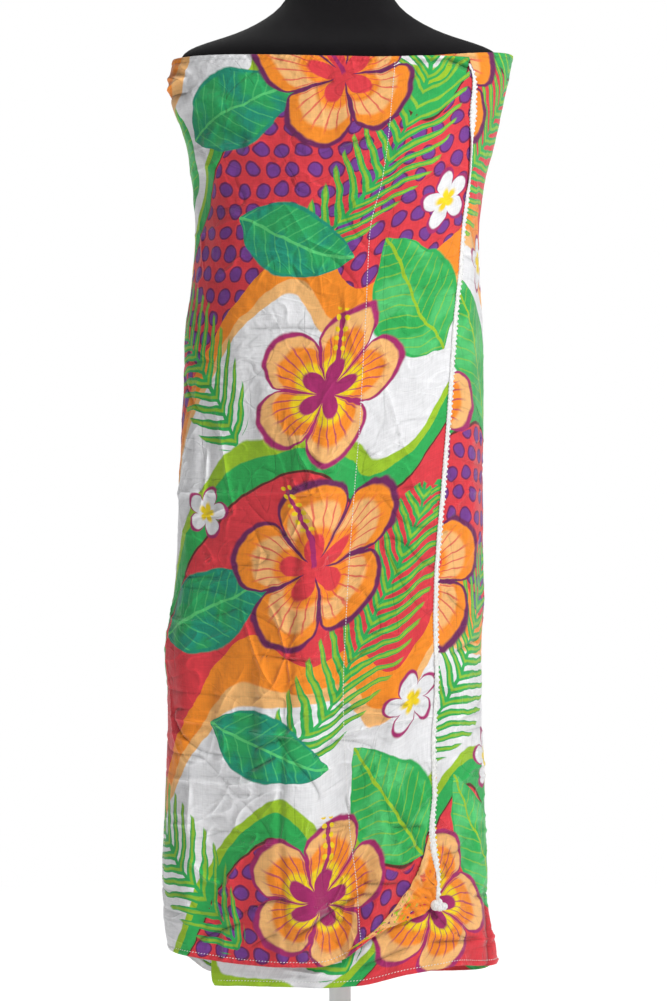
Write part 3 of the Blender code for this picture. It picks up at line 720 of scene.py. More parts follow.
def mesh_object(name, points, faces, material, uv=None, normals=None, creasing=None):
    mesh = bpy.data.meshes.new(name)
    mesh.from_pydata(points.reshape(-1, 3).tolist(), [], faces)
    if uv is not None:
        layer = mesh.uv_layers.new(name="cloth")
        loops = np.empty(len(mesh.loops), dtype=np.int32)
        mesh.loops.foreach_get("vertex_index", loops)
        layer.data.foreach_set("uv", uv[loops].astype(np.float32).ravel())
    if creasing is not None:
        layer = mesh.attributes.new("creasing", "FLOAT_VECTOR", "POINT")
        layer.data.foreach_set("vector", creasing.astype(np.float32).ravel())
    mesh.shade_smooth()
    if normals is not None:
        mesh.normals_split_custom_set_from_vertices(normals.tolist())
    mesh.update()
    mesh.materials.append(material)
    return put_in_scene(name, mesh)


def grid_faces(rows, columns, flip=False, closed=False):
    index = np.arange(rows * columns).reshape(rows, columns)
    if closed:
        index = np.concatenate([index, index[:, :1]], axis=1)
    quads = np.stack([index[:-1, :-1], index[:-1, 1:], index[1:, 1:], index[1:, :-1]], axis=-1)
    quads = quads.reshape(-1, 4)
    return quads[:, ::-1].tolist() if flip else quads.tolist()


def tube_faces(rings, sides):
    """Faces of a run of rings, closed at both ends."""
    last = (rings - 1) * sides
    return (grid_faces(rings, sides, closed=True)
            + [list(range(sides))[::-1], list(range(last, last + sides))])


def steps_along(path):
    return np.concatenate([[0.0], np.cumsum(np.linalg.norm(np.diff(path, axis=0), axis=1))])


def taken_at(places, along, values):
    """Rows of values at these places along their path."""
    return np.stack([np.interp(places, along, values[:, k]) for k in range(3)], axis=1)


def unit(vectors):
    return vectors / np.linalg.norm(vectors, axis=-1, keepdims=True)


# A finished grid: points, shading normals, place across and up the cloth, and its creasing
Grid = namedtuple("Grid", "points normals across upward creasing")


def sheet_object(name, grid, material, first=0, last=None):
    """A stretch of the cloth: the columns from first to last of a finished grid."""
    part = Grid(*(values[:, first:last] for values in grid))
    rows, columns = part.points.shape[:2]
    uv = np.stack([part.across, part.upward], axis=-1).reshape(-1, 2)
    return mesh_object(name, part.points, grid_faces(rows, columns, True), material, uv,
                       part.normals.reshape(-1, 3), part.creasing)


def stitch_run(name, path, normals, pitch, material, slant):
    """A row of short stitches along a path, each a small rounded bar half sunk in the cloth."""
    along = steps_along(path)
    centres = np.arange(pitch / 2, along[-1] - pitch / 2, pitch)
    at = taken_at(centres, along, path)
    out = unit(taken_at(centres, along, normals))
    run = unit(taken_at(centres + pitch / 3, along, path) - at)
    side = np.cross(out, run)
    run = run + side * slant
    share, size = STITCH_RINGS.T[:, :, None]
    angles = math.tau * np.arange(STITCH_SIDES) / STITCH_SIDES
    spread = STITCH_WIDTH * size
    lift = STITCH_LIFT + np.sin(angles) * spread * 0.7
    points = at[:, None, None]
    for direction, reach in ((run, share * STITCH_LENGTH), (side, np.cos(angles) * spread),
                             (out, lift)):
        points = points + direction[:, None, None] * reach[None, :, :, None]
    one = tube_faces(len(STITCH_RINGS), STITCH_SIDES)
    each = len(STITCH_RINGS) * STITCH_SIDES
    faces = [[first + corner for corner in face]
             for first in range(0, len(centres) * each, each) for face in one]
    return mesh_object(name, points, faces, material)


class Wire:
    """A node's output. Reckoning with wires and numbers adds Math nodes."""

    def __init__(self, recipe, socket):
        self.recipe = recipe
        self.socket = socket

    def __add__(self, other):
        return self.recipe.maths("ADD", self, other)

    def __sub__(self, other):
        return self.recipe.maths("SUBTRACT", self, other)

    def __rsub__(self, other):
        return self.recipe.maths("SUBTRACT", other, self)

    def __mul__(self, other):
        return self.recipe.maths("MULTIPLY", self, other)

    def __truediv__(self, other):
        return self.recipe.maths("DIVIDE", self, other)

    def __mod__(self, other):
        return self.recipe.maths("FLOORED_MODULO", self, other)

    def __pow__(self, other):
        return self.recipe.maths("POWER", self, other)

    def __abs__(self):
        return self.recipe.maths("ABSOLUTE", self)


class Recipe:
    """Adds nodes to a material one after another and hands back each one's output."""

    def __init__(self, name):
        self.material = bpy.data.materials.new(name)
        self.material.use_nodes = True
        self.nodes = self.material.node_tree.nodes
        self.shader = self.nodes["Principled BSDF"]

    def feed(self, socket, value):
        if isinstance(value, Wire):
            self.material.node_tree.links.new(value.socket, socket)
        elif value is not None:
            socket.default_value = value

    def node(self, kind, inputs=(), output=0, **settings):
        """A new node with these settings and inputs. Returns one of its outputs."""
        node = self.nodes.new(kind)
        for name, value in settings.items():
            setattr(node, name, value)
        for name, value in dict(inputs).items():
            self.feed(node.inputs[name], value)
        return Wire(self, node.outputs[output])

    def maths(self, operation, *values):
        return self.node("ShaderNodeMath", enumerate(values), operation=operation)

    def most(self, first, second):
        return self.maths("MAXIMUM", first, second)

    def within(self, value, low, high):
        """0 below low, 1 above high, and soft between them."""
        return self.node("ShaderNodeMapRange", {"Value": value, "From Min": low, "From Max": high},
                         "Result", interpolation_type="SMOOTHSTEP")

    def paint(self, under, over, share, blend="MIX"):
        return self.node("ShaderNodeMix", {0: share, 6: under, 7: over}, 2, data_type="RGBA",
                         blend_type=blend)

    def object_place(self):
        return self.node("ShaderNodeTexCoord", output="Object")

    def cloth_place(self):
        return self.node("ShaderNodeUVMap", uv_map="cloth")

    def parts(self, vector):
        node = self.nodes.new("ShaderNodeSeparateXYZ")
        self.feed(node.inputs[0], vector)
        return [Wire(self, output) for output in node.outputs]

    def vector(self, *values):
        return self.node("ShaderNodeCombineXYZ", enumerate(values))

    def noise(self, vector, scale, detail=2.0, roughness=0.5, output="Fac"):
        """Noise with this many cells per metre, or with a scale for each axis."""
        if isinstance(scale, tuple):
            vector = self.node("ShaderNodeMapping", {"Vector": vector, "Scale": scale})
            scale = 1.0
        return self.node("ShaderNodeTexNoise", {"Vector": vector, "Scale": scale, "Detail": detail,
                                                "Roughness": roughness}, output)

    def bump(self, height, distance, normal=None):
        return self.node("ShaderNodeBump", {"Distance": distance, "Height": height, "Normal": normal})

    def finish(self, colour, normal=None, **sockets):
        self.feed(self.shader.inputs["Base Color"], colour)
        self.feed(self.shader.inputs["Normal"], normal)
        for name, value in sockets.items():
            self.feed(self.shader.inputs[name.replace("_", " ")], value)
        return self.material


def rgb(red, green, blue):
    """A colour as painters' numbers from 0 to 255, made linear for the shader."""
    def linear(part):
        part = part / 255.0
        return part / 12.92 if part <= 0.04045 else ((part + 0.055) / 1.055) ** 2.4
    return (linear(red), linear(green), linear(blue), 1.0)


CORAL = rgb(226, 62, 72)
WHITE = rgb(238, 238, 240)
GREEN = rgb(48, 176, 88)
PALE_GREEN = rgb(92, 208, 122)
LIME = rgb(160, 200, 44)
ORANGE = rgb(252, 146, 40)
PEACH = rgb(250, 190, 120)
PURPLE = rgb(122, 62, 150)
DARK_PURPLE = rgb(112, 38, 92)
TEAL = rgb(30, 150, 120)
YELLOW = rgb(248, 216, 30)
MAGENTA = rgb(170, 44, 108)
OUTLINE = rgb(96, 44, 40)

# Sharp crease lines, painted as shade along grooves and as highlight along ridges: half width,
# share of the crease's rise, how fast the painted shade and highlight grow with the rise, and
# how far they go
LINE_WIDTH = 0.0011
LINE_SHARE = 0.60
LINE_CONTRAST = 340.0
GROOVE_SHADE = 0.38
RIDGE_LIGHT = 0.09
# Fine lines of wear, shown by bumps and by painted shade and highlight: lean, cells per metre
# across and up, seed and rise
WORN_LINES = [
    (0.2, (8.0, 26.0), 3.1, 0.00040),
    (-0.1, (30.0, 9.0), 7.7, -0.00034),
    (0.9, (13.0, 22.0), 11.3, -0.00036),
    (-0.8, (15.0, 24.0), 17.9, 0.00034),
]

# The print repeats with this width and height, and every other repeat drops by half
REPEAT_WIDTH = 0.430
REPEAT_HEIGHT = 0.560
DOT_PITCH = 0.0235


def motif_place(recipe, place, centre, turn):
    """Coordinates round a motif's centre, repeated over the cloth with a half drop."""
    u, v = place
    shifted = u - (centre[0] - REPEAT_WIDTH / 2)
    column = recipe.maths("FLOOR", shifted / REPEAT_WIDTH)
    drop = column % 2.0 * (REPEAT_HEIGHT / 2)
    x = shifted - column * REPEAT_WIDTH
    x = x - REPEAT_WIDTH / 2
    dropped = v - centre[1] + drop
    y = recipe.maths("WRAP", dropped, REPEAT_HEIGHT / 2, -REPEAT_HEIGHT / 2)
    cosine = math.cos(math.radians(turn))
    sine = math.sin(math.radians(turn))
    across = x * cosine + y * sine
    along = y * cosine - x * sine
    return across, along


def round_place(recipe, across, along):
    radius = recipe.maths("SQRT", across * across + along * along)
    return radius, recipe.maths("ARCTAN2", along, across)


def shape_mask(recipe, field, edge):
    """1 inside a shape whose field falls below 1, with an edge this soft."""
    return 1.0 - recipe.within(field, 1.0 - edge, 1.0 + edge)


def hibiscus(recipe, place, under, centre, radius, turn, colours, grain):
    """A broad five-petalled bloom with a ruffled rim, a star throat and fine veins."""
    across, along = motif_place(recipe, place, centre, turn)
    distance, angle = round_place(recipe, across, along)
    ruffle = (grain - 0.5) * 0.16
    petal = abs(recipe.maths("COSINE", angle * 2.5))
    reach = petal ** 0.55 * 0.44 + 0.58 + ruffle
    field = distance / radius / reach
    outer, middle, inner, throat, rim = colours
    colour = under
    for ink, scale, edge in ((rim, 1.0, 0.02), (outer, 1.09, 0.02), (middle, 1.36, 0.05),
                             (inner, 2.1, 0.10)):
        colour = recipe.paint(colour, ink, shape_mask(recipe, field * scale, edge))
    veins = recipe.maths("COSINE", angle * 35.0)
    middle_part = recipe.within(field, 0.20, 0.42) * (1.0 - recipe.within(field, 0.66, 0.86))
    vein_mask = recipe.within(veins, 0.72, 0.95) * middle_part
    colour = recipe.paint(colour, throat, vein_mask * 0.75)
    gap = recipe.within(petal, 0.18, 0.10)
    cleft = gap * (1.0 - recipe.within(field, 0.92, 1.0))
    colour = recipe.paint(colour, rim, cleft)
    star = distance / (radius * 0.4) / (petal * 0.75 + 0.25)
    return recipe.paint(colour, throat, shape_mask(recipe, star, 0.06))


def pistil(recipe, place, under, centre, length, turn):
    """The bloom's long pistil, with pollen dots along its tip."""
    across, along = motif_place(recipe, place, centre, turn)
    bend = along * along * 2.6
    away = abs(across - bend)
    ends = recipe.within(along, -0.002, 0.002) * (1.0 - recipe.within(along, length - 0.002, length))
    stem = (1.0 - recipe.within(away, 0.0022, 0.0030)) * ends
    colour = recipe.paint(under, MAGENTA, stem)
    spots_x = recipe.maths("PINGPONG", away, 0.0045) - 0.0045
    spots_y = along % 0.01 - 0.005
    spot = recipe.maths("SQRT", spots_x * spots_x + spots_y * spots_y)
    past_tip = recipe.within(along, length + 0.004, length + 0.006)
    tip = recipe.within(along, length * 0.45, length * 0.50) * (1.0 - past_tip)
    near = 1.0 - recipe.within(away, 0.0085, 0.0095)
    dots = (1.0 - recipe.within(spot, 0.0024, 0.0031)) * (tip * near)
    return recipe.paint(colour, YELLOW, dots)


def small_bloom(recipe, place, under, centre, radius, turn, colours):
    """A small round-petalled blossom with a warm heart."""
    across, along = motif_place(recipe, place, centre, turn)
    distance, angle = round_place(recipe, across, along)
    petal = abs(recipe.maths("COSINE", angle * 2.5))
    reach = petal ** 0.8 * 0.55 + 0.45
    field = distance / radius / reach
    rim, body, heart = colours
    colour = recipe.paint(under, rim, shape_mask(recipe, field, 0.04))
    colour = recipe.paint(colour, body, shape_mask(recipe, field * 1.16, 0.04))
    return recipe.paint(colour, heart, shape_mask(recipe, field * 2.9, 0.25))


def leaf(recipe, place, under, centre, size, turn, colours, grain):
    """A pointed leaf with a pale midrib and slanting side veins."""
    across, along = motif_place(recipe, place, centre, turn)
    length, width = size
    share = along / (length / 2)
    belly = 1.0 - share * share
    lean = share * -0.28 + 1.0
    half = recipe.most(belly, 0.0) * lean * (width / 2)
    away = abs(across)
    field = away / recipe.most(half, 0.0001) + (2.0 - recipe.within(belly, 0.0, 0.02) * 2.0)
    dark, light, rib = colours
    colour = recipe.paint(under, dark, shape_mask(recipe, field, 0.03))
    tone = recipe.within(grain, 0.42, 0.6) * 0.75
    body = shape_mask(recipe, field * 1.12, 0.03)
    colour = recipe.paint(colour, light, body * tone)
    slant = recipe.maths("SINE", (along - away * 0.8) * 420.0)
    side_veins = recipe.within(slant, 0.86, 0.97) * body
    colour = recipe.paint(colour, rib, side_veins * 0.55)
    midrib = (1.0 - recipe.within(away, 0.0011, 0.0019)) * body
    return recipe.paint(colour, rib, midrib)


def frond(recipe, place, under, centre, size, turn, colour_pair):
    """A comb-like palm frond of slanting leaflets on a curved stalk."""
    across, along = motif_place(recipe, place, centre, turn)
    length, width = size
    across = across - along * along * 1.4
    share = along / (length / 2)
    belly = recipe.most(1.0 - share * share, 0.0)
    away = abs(across)
    half = recipe.maths("SQRT", belly) * (width / 2)
    inside = shape_mask(recipe, away / recipe.most(half, 0.0001), 0.03)
    inside = inside * recipe.within(belly, 0.0, 0.02)
    comb = recipe.maths("SINE", (along - away * 0.9) * 340.0)
    taper = away / (width / 2) * 1.3 - 0.75
    leaflets = recipe.within(comb - taper, -0.05, 0.1)
    stalk = 1.0 - recipe.within(away, 0.002, 0.003)
    mask = inside * recipe.most(leaflets, stalk)
    dark, light = colour_pair
    colour = recipe.paint(under, dark, mask)
    return recipe.paint(colour, light, recipe.within(comb, 0.55, 0.95) * (inside * 0.8))


def dotted(recipe, place, under, where, grain):
    """Purple dots with a dark ring, in offset rows, where the mask allows them."""
    u, v = place
    row = recipe.maths("FLOOR", v / DOT_PITCH)
    shift = row % 2.0 * (DOT_PITCH / 2)
    x = (u + shift) % DOT_PITCH - DOT_PITCH / 2
    y = v % DOT_PITCH - DOT_PITCH / 2
    spot = recipe.maths("SQRT", x * x + y * y)
    spot = spot + (grain - 0.5) * 0.007
    ring = (1.0 - recipe.within(spot, 0.0086, 0.0094)) * where
    core = (1.0 - recipe.within(spot, 0.0066, 0.0076)) * where
    colour = recipe.paint(under, DARK_PURPLE, ring)
    return recipe.paint(colour, PURPLE, core)


def swathes(recipe, place):
    """Ground of the print: wavy swathes of coral and white, edged with lime and peach."""
    u, v = place
    wave = recipe.maths("SINE", u * 17.0 + 0.9) * 0.17
    ripple = recipe.maths("SINE", (u + v * 0.5) * 41.0) * 0.035
    field = v * 2.35 + u * 1.15 + (wave + ripple)
    share = recipe.maths("FRACT", field + 0.08)
    outline = recipe.within(share, 0.44, 0.444) * (1.0 - recipe.within(share, 0.449, 0.453))
    colour = recipe.paint(CORAL, GREEN, recipe.within(share, 0.447, 0.452))
    colour = recipe.paint(colour, OUTLINE, outline)
    for ink, start, end in ((LIME, 0.522, 0.527), (WHITE, 0.562, 0.568), (PEACH, 0.862, 0.868),
                            (ORANGE, 0.905, 0.911)):
        colour = recipe.paint(colour, ink, recipe.within(share, start, end))
    coral = 1.0 - recipe.within(share, 0.432, 0.438)
    lower = recipe.within(recipe.maths("SINE", field * 3.1416 + 0.4), 0.0, 0.1)
    return colour, coral * lower


def printed_voile():
    recipe = Recipe("printed_voile")
    cloth = recipe.cloth_place()
    wx, wy, wz = recipe.parts(recipe.noise(cloth, 26.0, 2.5, 0.55, "Color"))
    u, v, _ = recipe.parts(cloth)
    place = (u + (wx - 0.5) * 0.013, v + (wy - 0.5) * 0.013)
    colour, dot_ground = swathes(recipe, place)
    colour = dotted(recipe, place, colour, dot_ground, wz)
    for centre, size, turn, colours in PRINT_FRONDS:
        colour = frond(recipe, place, colour, centre, size, turn, colours)
    for centre, size, turn, colours in PRINT_LEAVES:
        colour = leaf(recipe, place, colour, centre, size, turn, colours, wz)
    for centre, radius, turn, colours in PRINT_BLOOMS:
        colour = hibiscus(recipe, place, colour, centre, radius, turn, colours, wz)
        colour = pistil(recipe, place, colour, centre, radius * 0.95, turn - 20)
    for centre, radius, turn, colours in PRINT_BLOSSOMS:
        colour = small_bloom(recipe, place, colour, centre, radius, turn, colours)
    return voile_finish(recipe, cloth, colour)


def voile_under_side():
    """The print's paler under side where the corner is turned over: orange, with seeped dots."""
    recipe = Recipe("voile_under_side")
    cloth = recipe.cloth_place()
    u, _, _ = recipe.parts(cloth)
    blots = recipe.noise(cloth, (38.0, 60.0, 1.0), 3.0, 0.6)
    washes = recipe.noise(cloth, (16.0, 34.0, 1.0), 2.0, 0.5)
    colour = recipe.paint(ORANGE, PEACH, recipe.within(washes, 0.46, 0.56))
    colour = recipe.paint(colour, CORAL, recipe.within(blots, 0.62, 0.66) * 0.7)
    near_end = recipe.within(u, CORNER_PRINT[0] + 0.115, CORNER_PRINT[0] + 0.150)
    streaks = recipe.noise(cloth, (120.0, 210.0, 1.0), 1.0, 0.5)
    colour = recipe.paint(colour, LIME, recipe.within(streaks, 0.58, 0.62) * near_end)
    colour = recipe.paint(colour, DARK_PURPLE, recipe.within(streaks, 0.36, 0.32) * near_end)
    return voile_finish(recipe, cloth, colour)


def worn_lines(recipe, u, v):
    """Fine crease lines that wander over the cloth and come and go: rises, in metres."""
    total = 0.0
    for lean, scale, seed, rise in WORN_LINES:
        place = recipe.vector((u + v * lean) * scale[0], v * scale[1], seed)
        away = abs(recipe.noise(place, 1.0, 1.0, 0.4) - 0.5)
        patch = recipe.within(recipe.noise(place, 0.9, 0.0, 0.5), 0.50, 0.62)
        line = (1.0 - recipe.within(away, 0.0, 0.016)) * patch
        total = line * rise + total
    return total


def voile_finish(recipe, cloth, colour):
    """Thin plain weave: uneven threads both ways, ink that varies, and sharp fine creases, which are
    bumped and also painted: painted shade in grooves and sunk cloth, painted highlight on ridges and
    proud cloth.
    """
    u, v, _ = recipe.parts(cloth)
    warp = recipe.noise(cloth, (900.0, 38.0, 1.0), 2.0, 0.6)
    weft = recipe.noise(cloth, (34.0, 900.0, 1.0), 2.0, 0.6)
    threads = warp + weft
    tone = recipe.node("ShaderNodeMapRange", {"Value": threads, "From Min": 0.7, "From Max": 1.3,
                                              "To Min": 0.90, "To Max": 1.06}, "Result")
    ink = recipe.noise(cloth, 9.0, 3.0, 0.6)
    wash = (ink - 0.5) * 0.16 + 1.0
    creasing = recipe.node("ShaderNodeAttribute", output="Vector", attribute_name="creasing")
    away, depth, proud = recipe.parts(creasing)
    nearness = recipe.maths("EXPONENT", abs(away) * (-1 / LINE_WIDTH))
    lines = nearness * depth * LINE_SHARE + worn_lines(recipe, u, v)
    # Painted shade along crease grooves and in sunk cloth, painted highlight along crease ridges and
    # on cloth that stands proud
    contrast = lines * LINE_CONTRAST
    painted_line_shade_and_light = recipe.maths("MINIMUM", recipe.most(contrast, -GROOVE_SHADE), RIDGE_LIGHT)
    crease_shade_and_light = proud * 0.13 + 1.0 + painted_line_shade_and_light
    mottle = recipe.noise(cloth, 150.0, 3.0, 0.65)
    spread = (mottle - 0.5) * 0.2 + 1.0
    shade = tone * wash * crease_shade_and_light * spread
    tint = recipe.paint(colour, recipe.vector(shade, shade, shade), 1.0, "MULTIPLY")
    crumple = recipe.noise(cloth, 55.0, 3.0, 0.55)
    ridge = abs(crumple - 0.5)
    weave_bump = recipe.bump(threads, 0.00012)
    normal = recipe.bump(lines, 1.0, recipe.bump(ridge, 0.0022, weave_bump))
    rough = threads * 0.06 + 0.8
    return recipe.finish(tint, normal, Roughness=rough, Sheen_Weight=0.25,
                         Sheen_Roughness=0.5, Specular_IOR_Level=0.25)


WARM_BLOOM = (ORANGE, PEACH, ORANGE, CORAL, DARK_PURPLE)
ROSE_BLOOM = (PEACH, ORANGE, YELLOW, MAGENTA, MAGENTA)
LEAF_GREENS = (GREEN, PALE_GREEN, LIME)
LEAF_TEALS = (TEAL, GREEN, PALE_GREEN)
FROND_GREENS = (GREEN, LIME)
PALE_BLOSSOM = (MAGENTA, WHITE, YELLOW)
GOLD_BLOSSOM = (ORANGE, YELLOW, CORAL)

# Each motif of the print: its centre on the cloth, its size, its turn and its colours
PRINT_FRONDS = [
    ((0.085, 0.335), (0.300, 0.120), 35, FROND_GREENS),
    ((0.330, 0.120), (0.260, 0.110), -48, FROND_GREENS),
]
PRINT_LEAVES = [
    ((0.270, 0.395), (0.170, 0.086), 62, LEAF_TEALS),
    ((0.060, 0.135), (0.180, 0.092), -30, LEAF_GREENS),
    ((0.205, 0.240), (0.150, 0.074), 112, LEAF_TEALS),
    ((0.385, 0.330), (0.140, 0.070), 18, LEAF_GREENS),
]
PRINT_BLOOMS = [
    ((0.150, 0.440), 0.098, 12, WARM_BLOOM),
    ((0.150, 0.075), 0.084, 40, ROSE_BLOOM),
]
PRINT_BLOSSOMS = [
    ((0.035, 0.235), 0.036, 10, PALE_BLOSSOM),
    ((0.395, 0.215), 0.032, 50, GOLD_BLOSSOM),
    ((0.285, 0.500), 0.030, 30, PALE_BLOSSOM),
]


def white_cotton(name, shine, scale):
    """White cotton yarn: fine fibres along Object coordinates, and a soft sheen."""
    recipe = Recipe(name)
    place = recipe.object_place()
    fibre = recipe.noise(place, (scale, scale, scale * 0.35), 3.0, 0.6)
    shade = recipe.paint(rgb(222, 221, 218), rgb(250, 250, 249), recipe.within(fibre, 0.30, 0.62))
    return recipe.finish(shade, recipe.bump(fibre, 0.0003), Roughness=0.85, Sheen_Weight=shine,
                         Sheen_Roughness=0.4, Specular_IOR_Level=0.2)


def black_flock():
    """Black flock: short dense fibres, very matte, with a faint grey sheen at grazing light."""
    recipe = Recipe("black_flock")
    place = recipe.object_place()
    fibres = recipe.noise(place, 1500.0, 2.0, 0.7)
    patches = recipe.noise(place, 22.0, 3.0, 0.6)
    base = recipe.paint(rgb(13, 12, 14), rgb(27, 25, 28), recipe.within(fibres, 0.35, 0.68))
    colour = recipe.paint(base, rgb(33, 31, 34), recipe.within(patches, 0.5, 0.75) * 0.35)
    rough = fibres * 0.06 + 0.92
    return recipe.finish(colour, recipe.bump(fibres, 0.0004), Roughness=rough, Sheen_Weight=0.08,
                         Sheen_Roughness=0.6, Specular_IOR_Level=0.08)


def satin_paint():
    """Pale satin powder paint, with a fine orange-peel skin and dust in its hollows."""
    recipe = Recipe("satin_paint")
    place = recipe.object_place()
    peel = recipe.noise(place, 900.0, 2.0, 0.5)
    dust = recipe.noise(place, 14.0, 4.0, 0.6)
    colour = recipe.paint(rgb(240, 240, 241), rgb(228, 228, 227), recipe.within(dust, 0.45, 0.75))
    rough = recipe.within(dust, 0.4, 0.8) * 0.16 + 0.34
    return recipe.finish(colour, recipe.bump(peel, 0.00012), Roughness=rough,
                         Coat_Weight=0.15, Coat_Roughness=0.3)


def pale_floor():
    """Matte pale paper that fades, away from the object, into the studio's white."""
    recipe = Recipe("pale_floor")
    place = recipe.object_place()
    grain = recipe.noise(place, 3.0, 3.0, 0.5)
    colour = recipe.paint(rgb(246, 246, 247), rgb(250, 250, 250), grain)
    paper = recipe.finish(colour, Roughness=0.9, Specular_IOR_Level=0.1,
                          Emission_Color=(1.0, 1.0, 1.0, 1.0), Emission_Strength=0.25)
    x, y, _ = recipe.parts(place)
    distance, _ = round_place(recipe, x, y)
    seen = recipe.node("ShaderNodeLightPath", output="Is Camera Ray")
    fade = recipe.within(distance, FADE_START, FADE_END) * seen
    mix = recipe.node("ShaderNodeMixShader", {0: fade, 1: Wire(recipe, recipe.shader.outputs[0]),
                                              2: recipe.node("ShaderNodeEmission")})
    recipe.feed(recipe.nodes["Material Output"].inputs["Surface"], mix)
    return paper


# The turned corner, in millimetres: its fold and its loose edge, from the top down
CornerPlace = namedtuple("CornerPlace", "fold_x fold_z edge_x edge_z")
TURNED_CORNER = in_metres(CornerPlace, [
    (105.2, 453.5, 106.2, 453.5), (100.3, 396, 102.2, 396), (93, 370.7, 105, 360),
    (85.9, 348.6, 107.2, 333), (79, 335, 105, 312), (71.5, 323.2, 93.6, 298.5),
    (55, 304.4, 70, 290.5), (40, 288, 50, 284.5), (25, 273.5, 29, 273.5), (8.5, 259.5, 9.5, 259),
])
CORNER_ROWS = 110
CORNER_COLUMNS = 26
CORNER_FOLD_RISE = 0.0030
CORNER_CRUMPLE = 0.0021
CORNER_LENGTH = 0.24
CORNER_PRINT = (0.180, 0.315)


def make_turned_corner(under_side):
    """The corner of the end strip that is folded over, its other side out, and crumpled."""
    rows = np.linspace(0, len(TURNED_CORNER) - 1, CORNER_ROWS)
    table = np.array(TURNED_CORNER)
    index = np.arange(len(TURNED_CORNER))
    places = np.stack([np.interp(rows, index, table[:, k]) for k in range(4)], axis=1)
    share = np.linspace(0.0, 1.0, CORNER_COLUMNS)[None, :]
    across = places[:, :1] * (1 - share) + places[:, 2:3] * share
    height = places[:, 1:2] * (1 - share) + places[:, 3:4] * share
    cloth = cloth_points(turn_for(across, height, 282.0, 436.0), height, False)
    wide = np.hypot(places[:, 0] - places[:, 2], places[:, 1] - places[:, 3])[:, None]
    inside = soft_step(0.002, 0.020, wide)
    along = rows[:, None] / rows[-1] * CORNER_LENGTH + 0.0 * share
    beside = wide * share
    roll = bell(share - 0.10, 0.13)
    rays = soft_noise(along, beside, 0.0085, 0.050, 12)
    rays += 0.5 * soft_noise(along, beside, 0.0045, 0.030, 14)
    crumple = 0.5 - np.abs(soft_noise(along + beside, beside, 0.009, 0.011, 13))
    ends = np.minimum(1.0, np.minimum(share, 1 - share) / 0.12)
    creased = inside * CORNER_CRUMPLE * (0.55 * rays + crumple) * ends
    rise = TURNED_GAP + inside * CORNER_FOLD_RISE * roll + creased
    steep = cloth.points + cloth.out * (rise + creased)[..., None]
    # How far the crumple stands proud, for the painted highlight on its ridges and the painted shade
    # in its hollows
    proud = np.tanh((creased - smoothed(creased, 3)) / 0.0008)
    grid = Grid(cloth.points + cloth.out * rise[..., None], grid_normals(steep),
                CORNER_PRINT[0] + along, CORNER_PRINT[1] + beside,
                np.stack([LINE_REACH + 0.0 * proud, 0.0 * proud, proud], -1))
    return sheet_object("turned_corner_cloth", grid, under_side)


def finished_grid(cloth, across, upward, column, inner):
    """Adds the turned-in edges, and works out the shading normals round them."""
    points, flats = with_turned_edges(cloth.points, (across, upward, cloth.creasing), column, inner)
    steep, _ = with_turned_edges(cloth.steep, (), column, inner)
    return Grid(points, grid_normals(steep), *flats)


def make_cloth(voile, thread):
    """The end strip and the three stretches of the main panel, with hems and stitching."""
    strip_turn, strip_height = sheet_places([FREE_CURVE, SEAM_CURVE], [STRIP_COLUMNS])
    strip = cloth_points(strip_turn, strip_height)
    spans = OUTER_SPANS + BACK_SPANS + UNDER_SPANS
    edges = [SEAM_CURVE] + [span[0] for span in spans] + [INNER_CURVE]
    main_turn, main_height = sheet_places(edges, [span[1] for span in spans] + [HIDDEN_COLUMNS])
    panel = cloth_points(main_turn, main_height)

    strip_across = arc_lengths(strip.plain, 1)
    panel_across = arc_lengths(panel.plain, 1) + strip_across[:, -1:]
    strip_grid = finished_grid(strip, strip_across, arc_lengths(strip.plain, 0), 0, [3, 2, 1])
    grid = finished_grid(panel, panel_across, arc_lengths(panel.plain, 0), -1, [-2, -3])
    left_side = sum(span[1] for span in OUTER_SPANS)
    right_side = left_side + sum(span[1] for span in BACK_SPANS)
    sheets = {
        "end_strip": sheet_object("end_strip_cloth", strip_grid, voile),
        "outer_front_stretch": sheet_object("outer_front_cloth", grid, voile, 0, left_side + 1),
        "back_stretch": sheet_object("back_cloth", grid, voile, left_side, right_side + 1),
        "under_front_stretch": sheet_object("under_front_cloth", grid, voile, right_side),
    }
    row = HEM_STEPS.index(HEM_STITCH_STEP)
    outer = slice(0, left_side)
    behind = slice(left_side, right_side)
    within = slice(right_side, None)
    side = int(np.argmin(np.abs(main_turn[SIDE_ROWS.start] - SIDE_STITCH_TURN)))
    runs = {
        "outer_front_stretch": [
            ("seam_stitches", panel, (slice(3, -3), 1), SEAM_PITCH, 0.0),
            ("outer_hem_stitches", panel, (row, outer), HEM_PITCH, HEM_SLANT),
            ("left_side_stitches", panel, (SIDE_ROWS, side), SEAM_PITCH, 0.0)],
        "back_stretch": [("back_hem_stitches", panel, (row, behind), HEM_PITCH, HEM_SLANT)],
        "under_front_stretch": [("under_hem_stitches", panel, (row, within), HEM_PITCH, HEM_SLANT)],
        "end_strip": [("strip_hem_stitches", strip, row, HEM_PITCH, HEM_SLANT)],
    }
    stitches = {node: [stitch_run(name, cloth.points[at], cloth.out[at], pitch, thread, slant)
                       for name, cloth, at, pitch, slant in rows]
                for node, rows in runs.items()}
    return sheets, stitches, strip


def braid_path(strip):
    """Centres, outward and sideways directions down the free edge, at even steps."""
    edge = strip.points[:, 0]
    inside = strip.points[:, 3]
    out = strip.out[:, 1]
    keep = (edge[:, 2] > BRAID_BOTTOM - BRAID_TUCK) & (edge[:, 2] < BRAID_TOP)
    edge, inside, out = edge[keep], inside[keep], out[keep]
    along = steps_along(edge)
    steps = np.arange(0.0, along[-1], BRAID_STEP)
    edge, inside, out = (taken_at(steps, along, values) for values in (edge, inside, out))
    side = unit(edge - inside)
    out = unit(out)
    centre = edge - side * BRAID_INSET + out * BRAID_HALF_THICKNESS * 0.8
    return steps, centre, out, side


